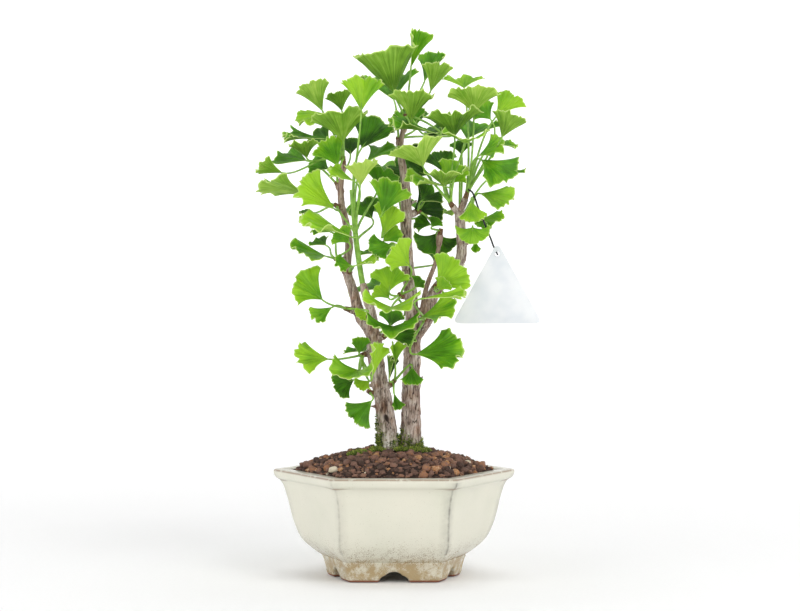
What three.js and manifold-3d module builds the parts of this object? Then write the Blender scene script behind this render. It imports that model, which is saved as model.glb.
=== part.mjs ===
// A ginkgo bonsai: two trunks with long-stalked fan leaves in a hexagonal glazed pot.
//
// Millimetres, +Z up, +X to the right, +Y to the back. The origin is on the ground, under the
// middle of the pot. The pot holds a mound of lava granules, the trunks stand in holes in it,
// and every bunch of leaves sits on the end of a short spur of the wood.

import * as THREE from 'three';
import { mergeVertices } from 'three/addons/utils/BufferGeometryUtils.js';
import Module from 'manifold-3d';

const wasm = await Module();
wasm.setup();

// ---- Driving dimensions ----

const GAP = 0.3; // left between pieces that rest on each other

const POT = {
  height: 87.6, // rim top
  corner: 100, // centre to a side corner, at the rim
  underside: 14.7, // bottom of the bowl
  rimThickness: 3.4,
  rimWidth: 15,
  wall: 7.5,
  floor: 9,
  hole: 18, // diameter of a drainage hole
};

const SOIL = { edge: 83.5, top: 103, grain: 1.1 };

const LEAF = {
  thickness: 0.7,
  stalk: 1,
  lobes: 1.12, // how far the lobes reach, as a share of the middle line
  notch: 0.1,
  notchWidth: 0.1,
  flare: 0.26, // how much of the spread the sides gain on the way to the margin
  rounding: 0.05, // how far the margin draws in at the corners, as a share of the length
  large: 40, // a longer blade is split finer
};

// The crown is set out as an eye in front of it sees it, so that x and z stay in line whatever the depth.
const EYE = { distance: 1820, height: 260 };

// How a blade is held. Angles in degrees: half its spread, the half-angle of the cone that it
// curls into (90 is flat) and the fold along its middle; then droop and wave as shares of its length.
const HABITS = {
  fan: { spread: 54, cone: 70, fold: 0, droop: 0.06, wave: 0.05 },
  wide: { spread: 92, cone: 74, fold: 0, droop: 0.06, wave: 0.05 },
  funnel: { spread: 60, cone: 38, fold: 0, droop: -0.02, wave: 0.05 },
  cup: { spread: 58, cone: 50, fold: 0, droop: 0.02, wave: 0.06 },
  bowl: { spread: 76, cone: 50, fold: 0, droop: 0.04, wave: 0.05 },
  wedge: { spread: 40, cone: 56, fold: 0, droop: 0.02, wave: 0.05 },
  fold: { spread: 36, cone: 86, fold: 48, droop: 0.02, wave: 0.04 },
  spoon: { spread: 32, cone: 70, fold: 0, droop: 0.06, wave: 0.03 },
  hang: { spread: 54, cone: 58, fold: 0, droop: 0.24, wave: 0.05 },
};

// ---- Places on the plant ----

// Limbs: points along the middle, [x, y, z], and the radius at each.
const LIMBS = {
  left: [
    { line: [[-6, -2, 62], [-5, -2, 101], [-8, -3, 140], [-14, -4, 170], [-17, -4, 200]], r: [7.5, 9.2, 7.6, 6.8, 6.6] },
    { line: [[-15, -4, 190], [-22, -2, 205], [-27, 0, 212], [-34, 3, 235], [-39, 4, 252], [-37, 3, 275], [-44, 2, 312], [-43, 2, 334]], r: [5.6, 5.2, 5, 4.2, 4, 3.3, 2.8, 2.2] },
    { line: [[-16, -5, 194], [-19, -9, 217], [-25, -12, 237]], r: [5, 4.3, 3.4] },
  ],
  right: [
    { line: [[13, 2, 62], [14, 2, 101], [14, 2, 141], [15, 2, 184], [16, 2, 203]], r: [7.5, 9.3, 7.9, 7.2, 7] },
    { line: [[16, 2, 196], [14, 4, 229], [10, 6, 272], [10, 6, 302], [9, 5, 327], [5, 4, 350], [8, 4, 370]], r: [6.2, 5.6, 5.2, 4.6, 3.8, 2.8, 2] },
    { line: [[17, 2, 197], [28, -1, 213], [31, -2, 229], [44, -3, 246], [55, -3, 261], [54, -2, 300]], r: [5.8, 5.6, 5.2, 4.8, 4.6, 4.2] },
    { line: [[23, 2, 214], [27, 7, 238], [34, 9, 257], [38, 9, 276]], r: [2.6, 2.2, 1.9, 1.6] },
  ],
};

// Leafy shoots. A spur runs from `root`, inside a limb, to `tip`; the green stem goes on from there
// through `stem`, and the leaves stand along it in turn. A leaf is its habit, the base and the tip
// of its middle line, and the way that its upper face looks.
const SHOOTS = {
  crown_top: {
    wood: 'right', root: [8, 4, 366], tip: [9, 3, 375], stem: [[9, 2, 381]],
    leaves: [
      ['fold', [14, 2, 419], [16, -1, 448], [6, -8, 1]],
      ['funnel', [0, -6, 398], [-7, -33, 430], [-1, 8, 6]],
      ['wedge', [25, 22, 407], [34, 27, 430], [-8, -7, 2]],
      ['wedge', [30, -8, 399], [39, -16, 421], [-5, 7, 3]],
      ['wedge', [14, -24, 375], [16, -42, 398], [0, 8, 6]],
      ['wedge', [37, -16, 364], [1, -26, 373], [1, -2, 9]],
      ['fan', [15, 8, 369], [12, 14, 385], [0, -8, -3]],
      ['fan', [26, 14, 364], [40, 24, 368], [0, -2, 9]],
    ],
  },
  crown_back: {
    wood: 'right', root: [5, 4, 352], tip: [4, 13, 358], stem: [[3, 18, 361]],
    leaves: [
      ['cup', [0, 32, 392], [-8, 54, 412], [0, -5, 8]],
      ['fan', [19, 36, 372], [18, 42, 383], [0, -8, 3]],
      ['fan', [45, 30, 363], [28, 36, 367], [0, -4, 8]],
    ],
  },
  left_top: {
    wood: 'left', root: [-43, 2, 330], tip: [-42, 1, 340], stem: [[-42, 0, 346]],
    leaves: [
      ['wedge', [-43, 10, 383], [-46, 1, 398], [-2, 8, 6]],
      ['wedge', [-59, -6, 383], [-70, -11, 405], [4, 8, 2]],
      ['hang', [-55, 4, 380], [-78, -2, 380], [0, -3, 9]],
      ['cup', [-42, -18, 358], [-45, -38, 382], [-1, 8, 7]],
      ['wedge', [-57, 8, 360], [-88, 2, 362], [0, -2, 9]],
      ['wedge', [-72, -10, 344], [-76, -24, 357], [0, 8, 8]],
      ['wedge', [-46, -10, 337], [-56, -18, 358], [2, -8, 1]],
      ['fan', [-54, 12, 335], [-67, 15, 342], [2, -8, 4]],
      ['wedge', [-92, -8, 332], [-111, -14, 337], [-2, 5, 9]],
    ],
  },
  left_back: {
    wood: 'left', root: [-43, 2, 316], tip: [-46, 12, 321], stem: [[-48, 17, 324]],
    leaves: [
      ['cup', [-53, 30, 357], [-66, 38, 364], [0, -7, 5]],
      ['fan', [-36, 34, 347], [-37, 42, 360], [0, -8, 4]],
      ['fan', [-72, 32, 342], [-96, 44, 346], [0, -4, 8]],
    ],
  },
  left_leader: {
    wood: 'left', root: [-24, -12, 234], tip: [-26, -12, 241], stem: [[-31, -13, 274], [-33, -13, 294], [-35, -12, 318]],
    leaves: [
      ['wedge', [-28, -42, 321], [-25, -56, 340], [-4, 6, 6]],
      ['fan', [-18, 10, 294], [-28, 16, 308], [2, -8, 3]],
      ['fan', [-13, 0, 319], [-8, 5, 335], [0, -8, 3]],
      ['fan', [-33, -30, 325], [-52, -36, 334], [1, -3, 8]],
      ['hang', [-23, -20, 340], [-3, -15, 358], [-6, -4, 8]],
      ['cup', [-27, -4, 352], [-11, 3, 374], [-3, -8, 4]],
      ['wedge', [-27, -42, 383], [-26, -34, 409], [0, -10, 4]],
    ],
  },
  left_middle: {
    wood: 'left', root: [-42, 2, 303], tip: [-46, -6, 304], stem: [[-49, -10, 306]],
    leaves: [
      ['wedge', [-49, -26, 302], [-76, -34, 321], [6, -7, 5]],
      ['fan', [-72, -14, 314], [-108, -20, 322], [-1, 2, 9]],
      ['fan', [-35, -43, 279], [-73, -52, 294], [0, -2, 9]],
      ['fan', [-67, 4, 299], [-77, 6, 300], [0, -2, 9]],
    ],
  },
  left_lower: {
    wood: 'left', root: [-38, 4, 258], tip: [-45, 0, 260], stem: [[-49, -3, 261]],
    leaves: [
      ['fan', [-56, -14, 263], [-78, -30, 269], [0, -4, 8]],
      ['fan', [-52, 8, 283], [-66, 12, 286], [0, -3, 8]],
      ['fan', [-37, -25, 274], [-46, -26, 284], [0, -8, 1]],
      ['fan', [-56, 28, 272], [-65, 36, 277], [0, -5, 8]],
    ],
  },
  left_wing: {
    wood: 'left', root: [-38, 3, 250], tip: [-37, -5, 250], stem: [[-37, -10, 250]],
    leaves: [
      ['wedge', [-33, -24, 255], [-16, -31, 260], [0, -3, 9]],
      ['fan', [-35, -20, 255], [-47, -26, 258], [1, -5, 6]],
    ],
  },
  left_outer: {
    wood: 'left', root: [-29, 1, 216], tip: [-37, -5, 219], stem: [[-41, -8, 220]],
    leaves: [
      ['fan', [-59, -20, 227], [-78, -27, 244], [5, -7, 4]],
      ['wedge', [-51, -26, 221], [-65, -32, 212], [1, -5, 8]],
      ['fan', [-22, -20, 217], [-30, -24, 214], [1, -6, 6]],
    ],
  },
  left_skirt: {
    wood: 'left', root: [-16, -4, 184], tip: [-24, -10, 182], stem: [[-28, -13, 181]],
    leaves: [
      ['fan', [-54, -30, 178], [-79, -37, 180], [1, -5, 8]],
      ['bowl', [-29, -32, 169], [-40, -51, 163], [0, -3, 9]],
      ['wedge', [-18, -46, 163], [-14, -48, 189], [9, -4, 1]],
      ['wedge', [-29, -18, 182], [-28, -22, 195], [3, -8, 3]],
      ['fan', [-33, -12, 161], [-48, -16, 155], [1, -8, 3]],
      ['fan', [-20, -22, 160], [-29, -28, 155], [0, -5, 8]],
    ],
  },
  left_foot: {
    wood: 'left', root: [-9, -3, 147], tip: [-18, -8, 150], stem: [[-22, -10, 152]],
    leaves: [
      ['wedge', [-18, -22, 144], [-33, -28, 129], [3, -8, 2]],
    ],
  },
  between: {
    wood: 'left', root: [-10, -4, 152], tip: [-2, -12, 158], stem: [[1, -15, 161]],
    leaves: [
      ['wedge', [15, -24, 172], [15, -30, 158], [0, -8, 3]],
      ['fold', [0, -24, 150], [2, -27, 137], [3, -8, 1]],
      ['fold', [-4, -22, 161], [-5, -20, 179], [8, -3, 0]],
      ['fold', [1, -24, 174], [0, -26, 191], [4, -8, 0]],
    ],
  },
  fork: {
    wood: 'left', root: [-15, -5, 194], tip: [-8, -12, 197], stem: [[-5, -15, 199]],
    leaves: [
      ['fan', [-6, -20, 197], [16, -22, 198], [0, -5, 8]],
      ['bowl', [-1, -34, 205], [-1, -58, 200], [0, -1, 9]],
      ['fan', [-3, -20, 205], [-1, -22, 218], [0, -8, 3]],
    ],
  },
  inner_low: {
    wood: 'right', root: [14, 4, 229], tip: [7, -4, 230], stem: [[4, -8, 232]],
    leaves: [
      ['bowl', [-2, -28, 221], [-2, -54, 219], [0, -3, 9]],
      ['fan', [-4, -18, 234], [-3, -26, 252], [0, -8, 4]],
      ['fan', [13, -28, 255], [0, -37, 269], [1, -8, 4]],
      ['cup', [17, -12, 237], [23, -14, 244], [-2, -8, 3]],
      ['fan', [-4, -14, 228], [-12, -16, 239], [1, -8, 2]],
    ],
  },
  fork_right: {
    wood: 'right', root: [24, 0, 207], tip: [25, -9, 210], stem: [[26, -14, 211]],
    leaves: [
      ['fan', [18, -46, 182], [53, -50, 186], [0, -5, 8]],
      ['fan', [22, -36, 212], [48, -46, 222], [-1, -4, 8]],
      ['spoon', [23, -60, 228], [55, -65, 233], [0, -2, 9]],
    ],
  },
  right_lower: {
    wood: 'right', root: [34, -2, 234], tip: [34, -11, 237], stem: [[34, -16, 239]],
    leaves: [
      ['fan', [35, -24, 236], [54, -28, 255], [-3, -8, 3]],
      ['fan', [37, -31, 235], [43, -33, 243], [0, -8, 2]],
    ],
  },
  trunk_middle: {
    wood: 'right', root: [10, 6, 270], tip: [4, -2, 271], stem: [[1, -6, 272]],
    leaves: [
      ['fan', [-1, -14, 272], [-18, -20, 269], [0, -6, 6]],
      ['fan', [-9, -8, 275], [2, -10, 286], [-2, -8, 2]],
    ],
  },
  trunk_upper: {
    wood: 'right', root: [9, 5, 316], tip: [4, -3, 318], stem: [[1, -7, 320]],
    leaves: [
      ['wedge', [-10, -26, 298], [-1, -34, 323], [0, -9, 3]],
      ['wedge', [-9, -14, 280], [-1, -20, 303], [-4, -8, 2]],
    ],
  },
  trunk_dark: {
    wood: 'right', root: [10, 6, 296], tip: [18, 10, 299], stem: [[22, 12, 301]],
    leaves: [
      ['fan', [28, 20, 330], [0, 28, 341], [2, -8, 5]],
      ['fan', [22, 4, 308], [34, 10, 318], [-2, -8, 3]],
      ['fan', [16, 18, 300], [36, 24, 309], [-1, -8, 4]],
      ['fan', [31, 16, 289], [18, 18, 292], [1, -6, 5]],
    ],
  },
  twig: {
    wood: 'right', root: [37, 9, 272], tip: [38, 9, 281], stem: [[39, 9, 286]],
    leaves: [
      ['wide', [35, 14, 282], [33, 18, 265], [1, -8, 3]],
      ['fan', [31, 4, 287], [36, 6, 294], [-2, -8, 2]],
    ],
  },
  right_spur: {
    wood: 'right', root: [54, -2, 297], tip: [48, -8, 305], stem: [[46, -10, 309]],
    leaves: [
      ['cup', [50, -14, 362], [47, -38, 381], [0, 8, 7]],
      ['bowl', [59, -36, 356], [61, -57, 361], [0, -3, 8]],
      ['cup', [24, -46, 337], [17, -67, 355], [-2, 8, 7]],
      ['cup', [41, -24, 321], [45, -46, 332], [0, -3, 9]],
      ['wedge', [45, -20, 320], [15, -32, 327], [1, -2, 9]],
      ['cup', [43, -8, 322], [54, -10, 338], [-2, -8, 2]],
      ['fan', [40, 0, 333], [37, 2, 349], [0, -8, 2]],
    ],
  },
  right_top: {
    wood: 'right', root: [54, -2, 298], tip: [59, -1, 311], stem: [[61, -1, 317]],
    leaves: [
      ['fan', [58, 24, 402], [56, 43, 412], [0, -5, 9]],
      ['fan', [66, -14, 381], [66, -30, 403], [0, 8, 5]],
      ['wedge', [84, 14, 378], [99, 20, 395], [-5, -8, 3]],
      ['fan', [80, -6, 376], [71, -7, 387], [2, -8, 3]],
      ['wedge', [89, -26, 361], [97, -38, 380], [1, 8, 5]],
      ['fan', [70, -16, 346], [89, -23, 356], [-1, -5, 8]],
      ['fan', [86, 20, 355], [100, 24, 356], [0, -3, 9]],
      ['fan', [72, -20, 343], [94, -32, 329], [1, -6, 8]],
    ],
  },
  right_side: {
    wood: 'right', root: [54, -2, 292], tip: [62, 0, 299], stem: [[66, 1, 302]],
    leaves: [
      ['fan', [71, -7, 315], [95, -16, 310], [0, -4, 8]],
      ['wedge', [64, -25, 309], [66, -32, 293], [0, -8, 2]],
      ['fan', [71, -3, 293], [88, -10, 295], [0, -4, 8]],
      ['fan', [76, 6, 296], [72, 8, 287], [1, -8, 1]],
    ],
  },
  right_under: {
    wood: 'right', root: [55, -3, 272], tip: [62, -8, 276], stem: [[65, -10, 278]],
    leaves: [
      ['wide', [65, -22, 287], [65, -28, 275], [0, -8, 4]],
      ['fold', [67, -6, 277], [67, -8, 267], [1, -8, 2]],
    ],
  },
  right_back: {
    wood: 'right', root: [54, -2, 284], tip: [54, 8, 288], stem: [[54, 13, 291]],
    leaves: [
      ['cup', [60, 34, 360], [70, 58, 373], [0, -5, 8]],
      ['fan', [56, 32, 347], [55, 36, 358], [0, -8, 3]],
      ['fan', [80, 28, 328], [97, 46, 336], [-2, -4, 8]],
    ],
  },
  trunk_back: {
    wood: 'right', root: [10, 6, 286], tip: [8, 17, 291], stem: [[7, 22, 293]],
    leaves: [
      ['fan', [-2, 36, 330], [-12, 60, 340], [0, -4, 8]],
      ['fan', [22, 40, 296], [34, 62, 304], [0, -4, 8]],
      ['fan', [-14, 38, 300], [-32, 58, 306], [0, -4, 8]],
    ],
  },
  trunk_back_low: {
    wood: 'right', root: [12, 5, 250], tip: [11, 17, 252], stem: [[11, 22, 253]],
    leaves: [
      ['fan', [-4, 32, 264], [-14, 56, 270], [0, -4, 8]],
      ['fan', [33, 32, 256], [47, 50, 260], [0, -4, 8]],
      ['fan', [-8, 28, 236], [-26, 48, 240], [0, -4, 8]],
    ],
  },
  low_back: {
    wood: 'left', root: [-17, -4, 197], tip: [-14, 7, 198], stem: [[-13, 12, 199]],
    leaves: [
      ['fan', [8, 28, 214], [26, 48, 220], [0, -4, 8]],
      ['fan', [-23, 30, 184], [-33, 44, 189], [0, -5, 8]],
    ],
  },
};

// The label's tie leaves the right limb and runs down to the hole of the label.
const TIE = {
  radius: 0.75,
  line: [
    [61, -8, 318], [64, -10, 316], [66, -12, 312], [69, -14, 303], [73, -16, 293],
    [76, -17, 285], [79, -17, 278], [82, -16.8, 270], [84.2, -17.6, 265.6], [84.5, -20, 264.8], [84.5, -22.5, 264.6],
  ],
};

const LABEL = { thickness: 1.2, apex: [84.5, 275], halfWidth: 37, height: 67, round: 7, depth: -19, hole: 4 };

const COLOURS = {
  glaze: 0xe6e6d4,
  soil: 0x6a4130,
  bark: 0x8f7e70,
  leaf: 0x6fb52a,
  label: 0xf4f6f6,
  tie: 0x1c1c1e,
};

// ---- Helpers ----

const radians = (degrees) => degrees * Math.PI / 180;

// A seeded random number from 0 to 1 for a whole number (Mulberry32).
function chance(seed) {
  let t = (seed + 0x6d2b79f5) | 0;
  t = Math.imul(t ^ (t >>> 15), t | 1);
  t ^= t + Math.imul(t ^ (t >>> 7), t | 61);
  return ((t ^ (t >>> 14)) >>> 0) / 4294967296;
}

// A place on the plant, from where the eye sees it and its depth.
function place([x, y, z]) {
  const nearness = 1 + y / EYE.distance;
  return new THREE.Vector3(x * nearness, y, EYE.height + (z - EYE.height) * nearness);
}

function solid(geometry) {
  geometry.deleteAttribute('normal');
  geometry.deleteAttribute('uv');
  const merged = mergeVertices(geometry, 1e-4);
  return new wasm.Manifold(new wasm.Mesh({
    numProp: 3,
    vertProperties: new Float32Array(merged.attributes.position.array),
    triVerts: new Uint32Array(merged.index.array),
  }));
}

function fuse(solids) {
  return solids.reduce((whole, next) => whole.add(next));
}

function geometryOf(shape) {
  const mesh = shape.getMesh();
  const geometry = new THREE.BufferGeometry();
  geometry.setAttribute('position', new THREE.BufferAttribute(mesh.vertProperties, 3));
  geometry.setIndex(new THREE.BufferAttribute(mesh.triVerts, 1));
  geometry.computeVertexNormals();
  return geometry;
}

// A value between the numbers of a list, at a share from 0 to 1 of its length.
function between(list, share) {
  const at = Math.min(share * (list.length - 1), list.length - 1.000001);
  const first = Math.floor(at);
  return THREE.MathUtils.lerp(list[first], list[first + 1], at - first);
}

// A round bar whose middle follows a curve, with a radius that changes along it.
function bar(curve, radii, sides, steps, roughness = 0, seed = 0) {
  const geometry = new THREE.CylinderGeometry(1, 1, 1, sides, steps);
  const frames = curve.computeFrenetFrames(steps);
  const place = geometry.attributes.position;
  const point = new THREE.Vector3();
  for (let i = 0; i < place.count; i += 1) {
    const step = Math.round((place.getY(i) + 0.5) * steps);
    const x = place.getX(i);
    const z = place.getZ(i);
    const side = Math.round(Math.atan2(z, x) / (2 * Math.PI) * sides + sides) % sides;
    const bump = 1 + roughness * (2 * chance(seed + 97 * step + side) - 1);
    const radius = between(radii, step / steps) * bump;
    point.copy(curve.getPoint(step / steps));
    point.addScaledVector(frames.normals[step], x * radius);
    point.addScaledVector(frames.binormals[step], -z * radius);
    place.setXYZ(i, point.x, point.y, point.z);
  }
  return solid(geometry);
}

// ---- The pot ----

// A corner of the pot at a height: the side corners lie on X, the four others front and back.
// Lower down the bowl's front and back panels keep more of their width.
function potCorner(side, height, index) {
  const low = 1 - THREE.MathUtils.clamp((height - POT.underside) / (POT.height - POT.underside), 0, 1);
  if (index % 3 === 0) {
    return [index === 0 ? side : -side, 0];
  }
  const x = side * (0.5 + 0.16 * low ** 3.5);
  const y = side * (0.866 - 0.048 * low);
  return [index === 1 || index === 5 ? x : -x, index < 3 ? y : -y];
}

// A closed six-sided turning of a profile of [side corner, height] points that starts and ends on the axis.
function hexagonTurned(profile) {
  const points = profile.map(([side, height]) => new THREE.Vector2(side, height));
  const geometry = new THREE.LatheGeometry(points, 6);
  const at = geometry.attributes.position;
  for (let i = 0; i < at.count; i += 1) {
    const index = Math.floor(i / profile.length) % 6;
    const [side, height] = profile[i % profile.length];
    const [x, y] = potCorner(side, height, index);
    at.setXYZ(i, x, y, height);
  }
  return solid(geometry);
}

// The outer wall from the underside to the rim, [side corner, height].
const BOWL = [
  [56.7, 14.7], [68, 22.5], [76.8, 30.8], [82.3, 42.3], [85.4, 52], [87.9, 62], [90, 69], [92.2, 75],
];

function bowl() {
  const top = POT.height;
  const rim = top - POT.rimThickness;
  const inside = BOWL.slice(2).reverse().map(([side, height]) => [side - POT.wall, height]);
  return hexagonTurned([
    [0, POT.underside], ...BOWL,
    [95.6, 79.6], [98.6, rim], [POT.corner, rim + 0.8], [POT.corner, top - 0.8], [99, top],
    [POT.corner - POT.rimWidth, top - 0.6], ...inside,
    [58, POT.underside + POT.floor], [0, POT.underside + POT.floor],
  ]);
}

// The cloud-shaped opening between two feet, seen from the side, as wide as `half` each way at the ground.
function footOpening(half) {
  const shape = new THREE.Shape();
  shape.moveTo(-half, -2);
  shape.lineTo(-half, 0.6);
  shape.quadraticCurveTo(-half + 0.6, 4.6, -half * 0.52, 5.4);
  shape.quadraticCurveTo(-half * 0.42, 8.6, 0, 8.6);
  shape.quadraticCurveTo(half * 0.42, 8.6, half * 0.52, 5.4);
  shape.quadraticCurveTo(half - 0.6, 4.6, half, 0.6);
  shape.lineTo(half, -2);
  shape.closePath();
  const geometry = new THREE.ExtrudeGeometry(shape, { depth: 70, bevelEnabled: false, curveSegments: 3 });
  geometry.rotateX(Math.PI / 2);
  return geometry;
}

// A skirt under the bowl, open inside and cut between the corners, so that six feet are left.
function feet() {
  const outer = hexagonTurned([[0, 0], [54.5, 0], [56.2, 3], [57.2, 9], [59.5, 16], [0, 16]]);
  const inner = hexagonTurned([[0, -1], [44, -1], [45.5, 12], [44, 15.5], [0, 15.5]]);
  let skirt = outer.subtract(inner);
  const corners = Array.from({ length: 6 }, (_, index) => potCorner(54.5, 0, index));
  corners.forEach(([x, y], index) => {
    const [nextX, nextY] = corners[(index + 1) % 6];
    const length = Math.hypot(nextX - x, nextY - y);
    const opening = footOpening(length > 60 ? 12 : 8);
    opening.rotateZ(Math.atan2(nextY - y, nextX - x) + Math.PI);
    opening.translate((x + nextX) / 2 * 0.3, (y + nextY) / 2 * 0.3, 0);
    skirt = skirt.subtract(solid(opening));
  });
  return skirt;
}

function pot() {
  let body = bowl().add(feet());
  for (const x of [-24, 24]) {
    const hole = new THREE.CylinderGeometry(POT.hole / 2, POT.hole / 2, 30, 16);
    hole.rotateX(Math.PI / 2);
    hole.translate(x, 0, POT.underside + POT.floor / 2);
    body = body.subtract(solid(hole));
  }
  return body;
}

// ---- The soil ----

const SOIL_RINGS = 10;
const SOIL_SIDES = 24;

// How high the soil stands, from its middle (share 0) to the pot's wall (share 1).
function soilHeight(share) {
  const edge = POT.height - 1.6;
  return edge + (SOIL.top - edge) * (1 - share ** 2.6);
}

function soil() {
  const floor = POT.underside + POT.floor + GAP;
  const rings = Array.from({ length: SOIL_RINGS }, (_, ring) => ring / (SOIL_RINGS - 1));
  const wall = [[82, 76], [78, 62], [70, 38], [57, floor]];
  const profile = [...wall].reverse().concat(rings.slice().reverse().map((share) => [share * SOIL.edge, 0]));
  const points = [[0, floor], ...profile].map(([radius, height]) => new THREE.Vector2(radius, height));
  const geometry = new THREE.LatheGeometry(points, SOIL_SIDES);
  const at = geometry.attributes.position;
  for (let i = 0; i < at.count; i += 1) {
    const line = Math.floor(i / points.length) % SOIL_SIDES;
    const row = i % points.length;
    const share = Math.max(0, (points.length - 1 - row) / (SOIL_RINGS - 1));
    const top = share <= 1;
    const side = points[row].x;
    const turn = line / SOIL_SIDES * 6;
    const from = potCorner(side, top ? POT.height : points[row].y, Math.floor(turn));
    const to = potCorner(side, top ? POT.height : points[row].y, (Math.floor(turn) + 1) % 6);
    const x = THREE.MathUtils.lerp(from[0], to[0], turn % 1);
    const y = THREE.MathUtils.lerp(from[1], to[1], turn % 1);
    const bump = share < 0.95 && share > 0 ? SOIL.grain * (2 * chance(31 * line + row) - 1) : 0;
    at.setXYZ(i, x, y, top ? soilHeight(share) + bump : points[row].y);
  }
  return solid(geometry);
}

// ---- The wood ----

function limb({ line, r }) {
  const curve = new THREE.CatmullRomCurve3(line.map(place));
  return bar(curve, r, r[0] > 4 ? 8 : 6, (line.length - 1) * 2, 0.07, 11 * line.length);
}

function spurEnd({ root, tip }) {
  const from = place(root);
  const to = place(tip);
  return { from, to, way: to.clone().sub(from).normalize() };
}

function spur(shoot) {
  const { from, to } = spurEnd(shoot);
  return bar(new THREE.LineCurve3(from, to), [2.6, 2.1], 5, 1);
}

function trunk(side) {
  const spurs = Object.values(SHOOTS).filter((shoot) => shoot.wood === side);
  return fuse([...LIMBS[side].map((part) => limb(part)), ...spurs.map(spur)]);
}

// The plain hole that a trunk stands in: round its buried part, a little wider and deeper.
function socket(side) {
  const { line: [foot, ground], r: [, radius] } = LIMBS[side][0];
  const [from, to] = [place(foot), place(ground)];
  const way = to.clone().sub(from).normalize();
  const curve = new THREE.LineCurve3(from.addScaledVector(way, -1), to.addScaledVector(way, 12));
  return bar(curve, [radius * 1.07 + GAP, radius * 1.07 + GAP], 12, 1);
}

// ---- The leaves ----

// A point of a blade's surface and the way its upper face looks there, from its angle (-1 to 1
// across the fan) and its distance from the base (0 to 1).
function bladePoint(leaf, across, along) {
  const { base, middle, side, up, length, habit, turn } = leaf;
  const spread = radians(habit.spread);
  const cone = radians(habit.cone);
  const notch = LEAF.notch * Math.exp(-((across / LEAF.notchWidth) ** 2));
  const rounding = LEAF.rounding * across ** 6;
  const reach = length * along * (1 - notch - rounding);
  const wrap = across * spread * (1 - LEAF.flare * (1 - along ** 2)) / Math.sin(cone);
  const out = [Math.cos(cone), Math.sin(cone)];
  const axis = middle.clone().multiplyScalar(out[0]).addScaledVector(up, out[1]);
  const lean = middle.clone().multiplyScalar(out[1]).addScaledVector(up, -out[0]);
  const inward = axis.clone().multiplyScalar(out[1]);
  inward.addScaledVector(lean, -out[0] * Math.cos(wrap)).addScaledVector(side, -out[0] * Math.sin(wrap));
  const fold = radians(habit.fold);
  const lateral = reach * out[1] * Math.sin(wrap);
  const offset = axis.clone().multiplyScalar(reach * out[0]);
  offset.addScaledVector(lean, reach * out[1] * Math.cos(wrap));
  offset.addScaledVector(side, lateral * Math.cos(fold)).addScaledVector(up, Math.abs(lateral) * Math.sin(fold));
  const wave = habit.wave * along ** 3 * Math.sin(across * 7 + turn);
  offset.addScaledVector(inward, length * (wave - habit.droop * along ** 2));
  if (fold) {
    inward.copy(up).multiplyScalar(Math.cos(fold)).addScaledVector(side, -Math.sign(across) * Math.sin(fold));
  }
  return { point: base.clone().add(offset), inward };
}

// A leaf in one piece: a four-sided stalk along a curve, whose last ring opens into the blade, a
// thin waved fan that is split into the same triangles above and below.
const BLADE_STEPS = [0.55, 1];

function leafSolid(leaf, stalk) {
  const fans = leaf.length > LEAF.large ? 8 : 6;
  const row = fans + 1;
  const steps = stalk.getLength() > 30 ? 3 : 2;
  const vertices = [];
  const frames = stalk.computeFrenetFrames(steps);
  const end = { normal: frames.normals[steps], binormal: frames.binormals[steps] };
  const twist = Math.atan2(leaf.up.dot(end.binormal), leaf.up.dot(end.normal));
  for (let step = 0; step <= steps; step += 1) {
    const radius = step < steps ? LEAF.stalk : LEAF.stalk * 0.7;
    for (let corner = 0; corner < 4; corner += 1) {
      const turn = twist + corner * Math.PI / 2;
      const point = stalk.getPoint(step / steps);
      point.addScaledVector(frames.normals[step], radius * Math.cos(turn));
      point.addScaledVector(frames.binormals[step], radius * Math.sin(turn));
      vertices.push(...point.toArray());
    }
  }
  for (const face of [0.5, -0.5]) {
    for (const along of BLADE_STEPS) {
      for (let i = 0; i < row; i += 1) {
        const { point, inward } = bladePoint(leaf, 2 * i / fans - 1, along);
        vertices.push(...point.addScaledVector(inward, face * LEAF.thickness).toArray());
      }
    }
  }
  const triangles = [0, 3, 2, 0, 2, 1];
  for (let step = 0; step < steps; step += 1) {
    for (let corner = 0; corner < 4; corner += 1) {
      const near = 4 * step + corner;
      const next = 4 * step + (corner + 1) % 4;
      triangles.push(near, next, next + 4, near, next + 4, near + 4);
    }
  }
  const above = 4 * steps;
  const left = above + 1;
  const below = above + 2;
  const right = above + 3;
  const upper = above + 4;
  const lower = upper + 2 * row;
  for (let i = 0; i < fans; i += 1) {
    triangles.push(above, upper + i, upper + i + 1, below, lower + i + 1, lower + i);
    triangles.push(upper + i, upper + row + i, upper + row + i + 1, upper + i, upper + row + i + 1, upper + i + 1);
    triangles.push(lower + i, lower + row + i + 1, lower + row + i, lower + i, lower + i + 1, lower + row + i + 1);
    triangles.push(upper + row + i, lower + row + i, lower + row + i + 1);
    triangles.push(upper + row + i, lower + row + i + 1, upper + row + i + 1);
  }
  triangles.push(left, below, lower, left, lower, upper, left, upper, above);
  triangles.push(right, above, upper + fans, right, upper + fans, lower + fans, right, lower + fans, below);
  triangles.push(upper, lower + row, upper + row, upper, lower, lower + row);
  const ends = [upper + fans, upper + row + fans, lower + fans, lower + row + fans];
  triangles.push(ends[0], ends[1], ends[3], ends[0], ends[3], ends[2]);
  const geometry = new THREE.BufferGeometry();
  geometry.setAttribute('position', new THREE.BufferAttribute(new Float32Array(vertices), 3));
  geometry.setIndex(triangles);
  return solid(geometry);
}

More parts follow.
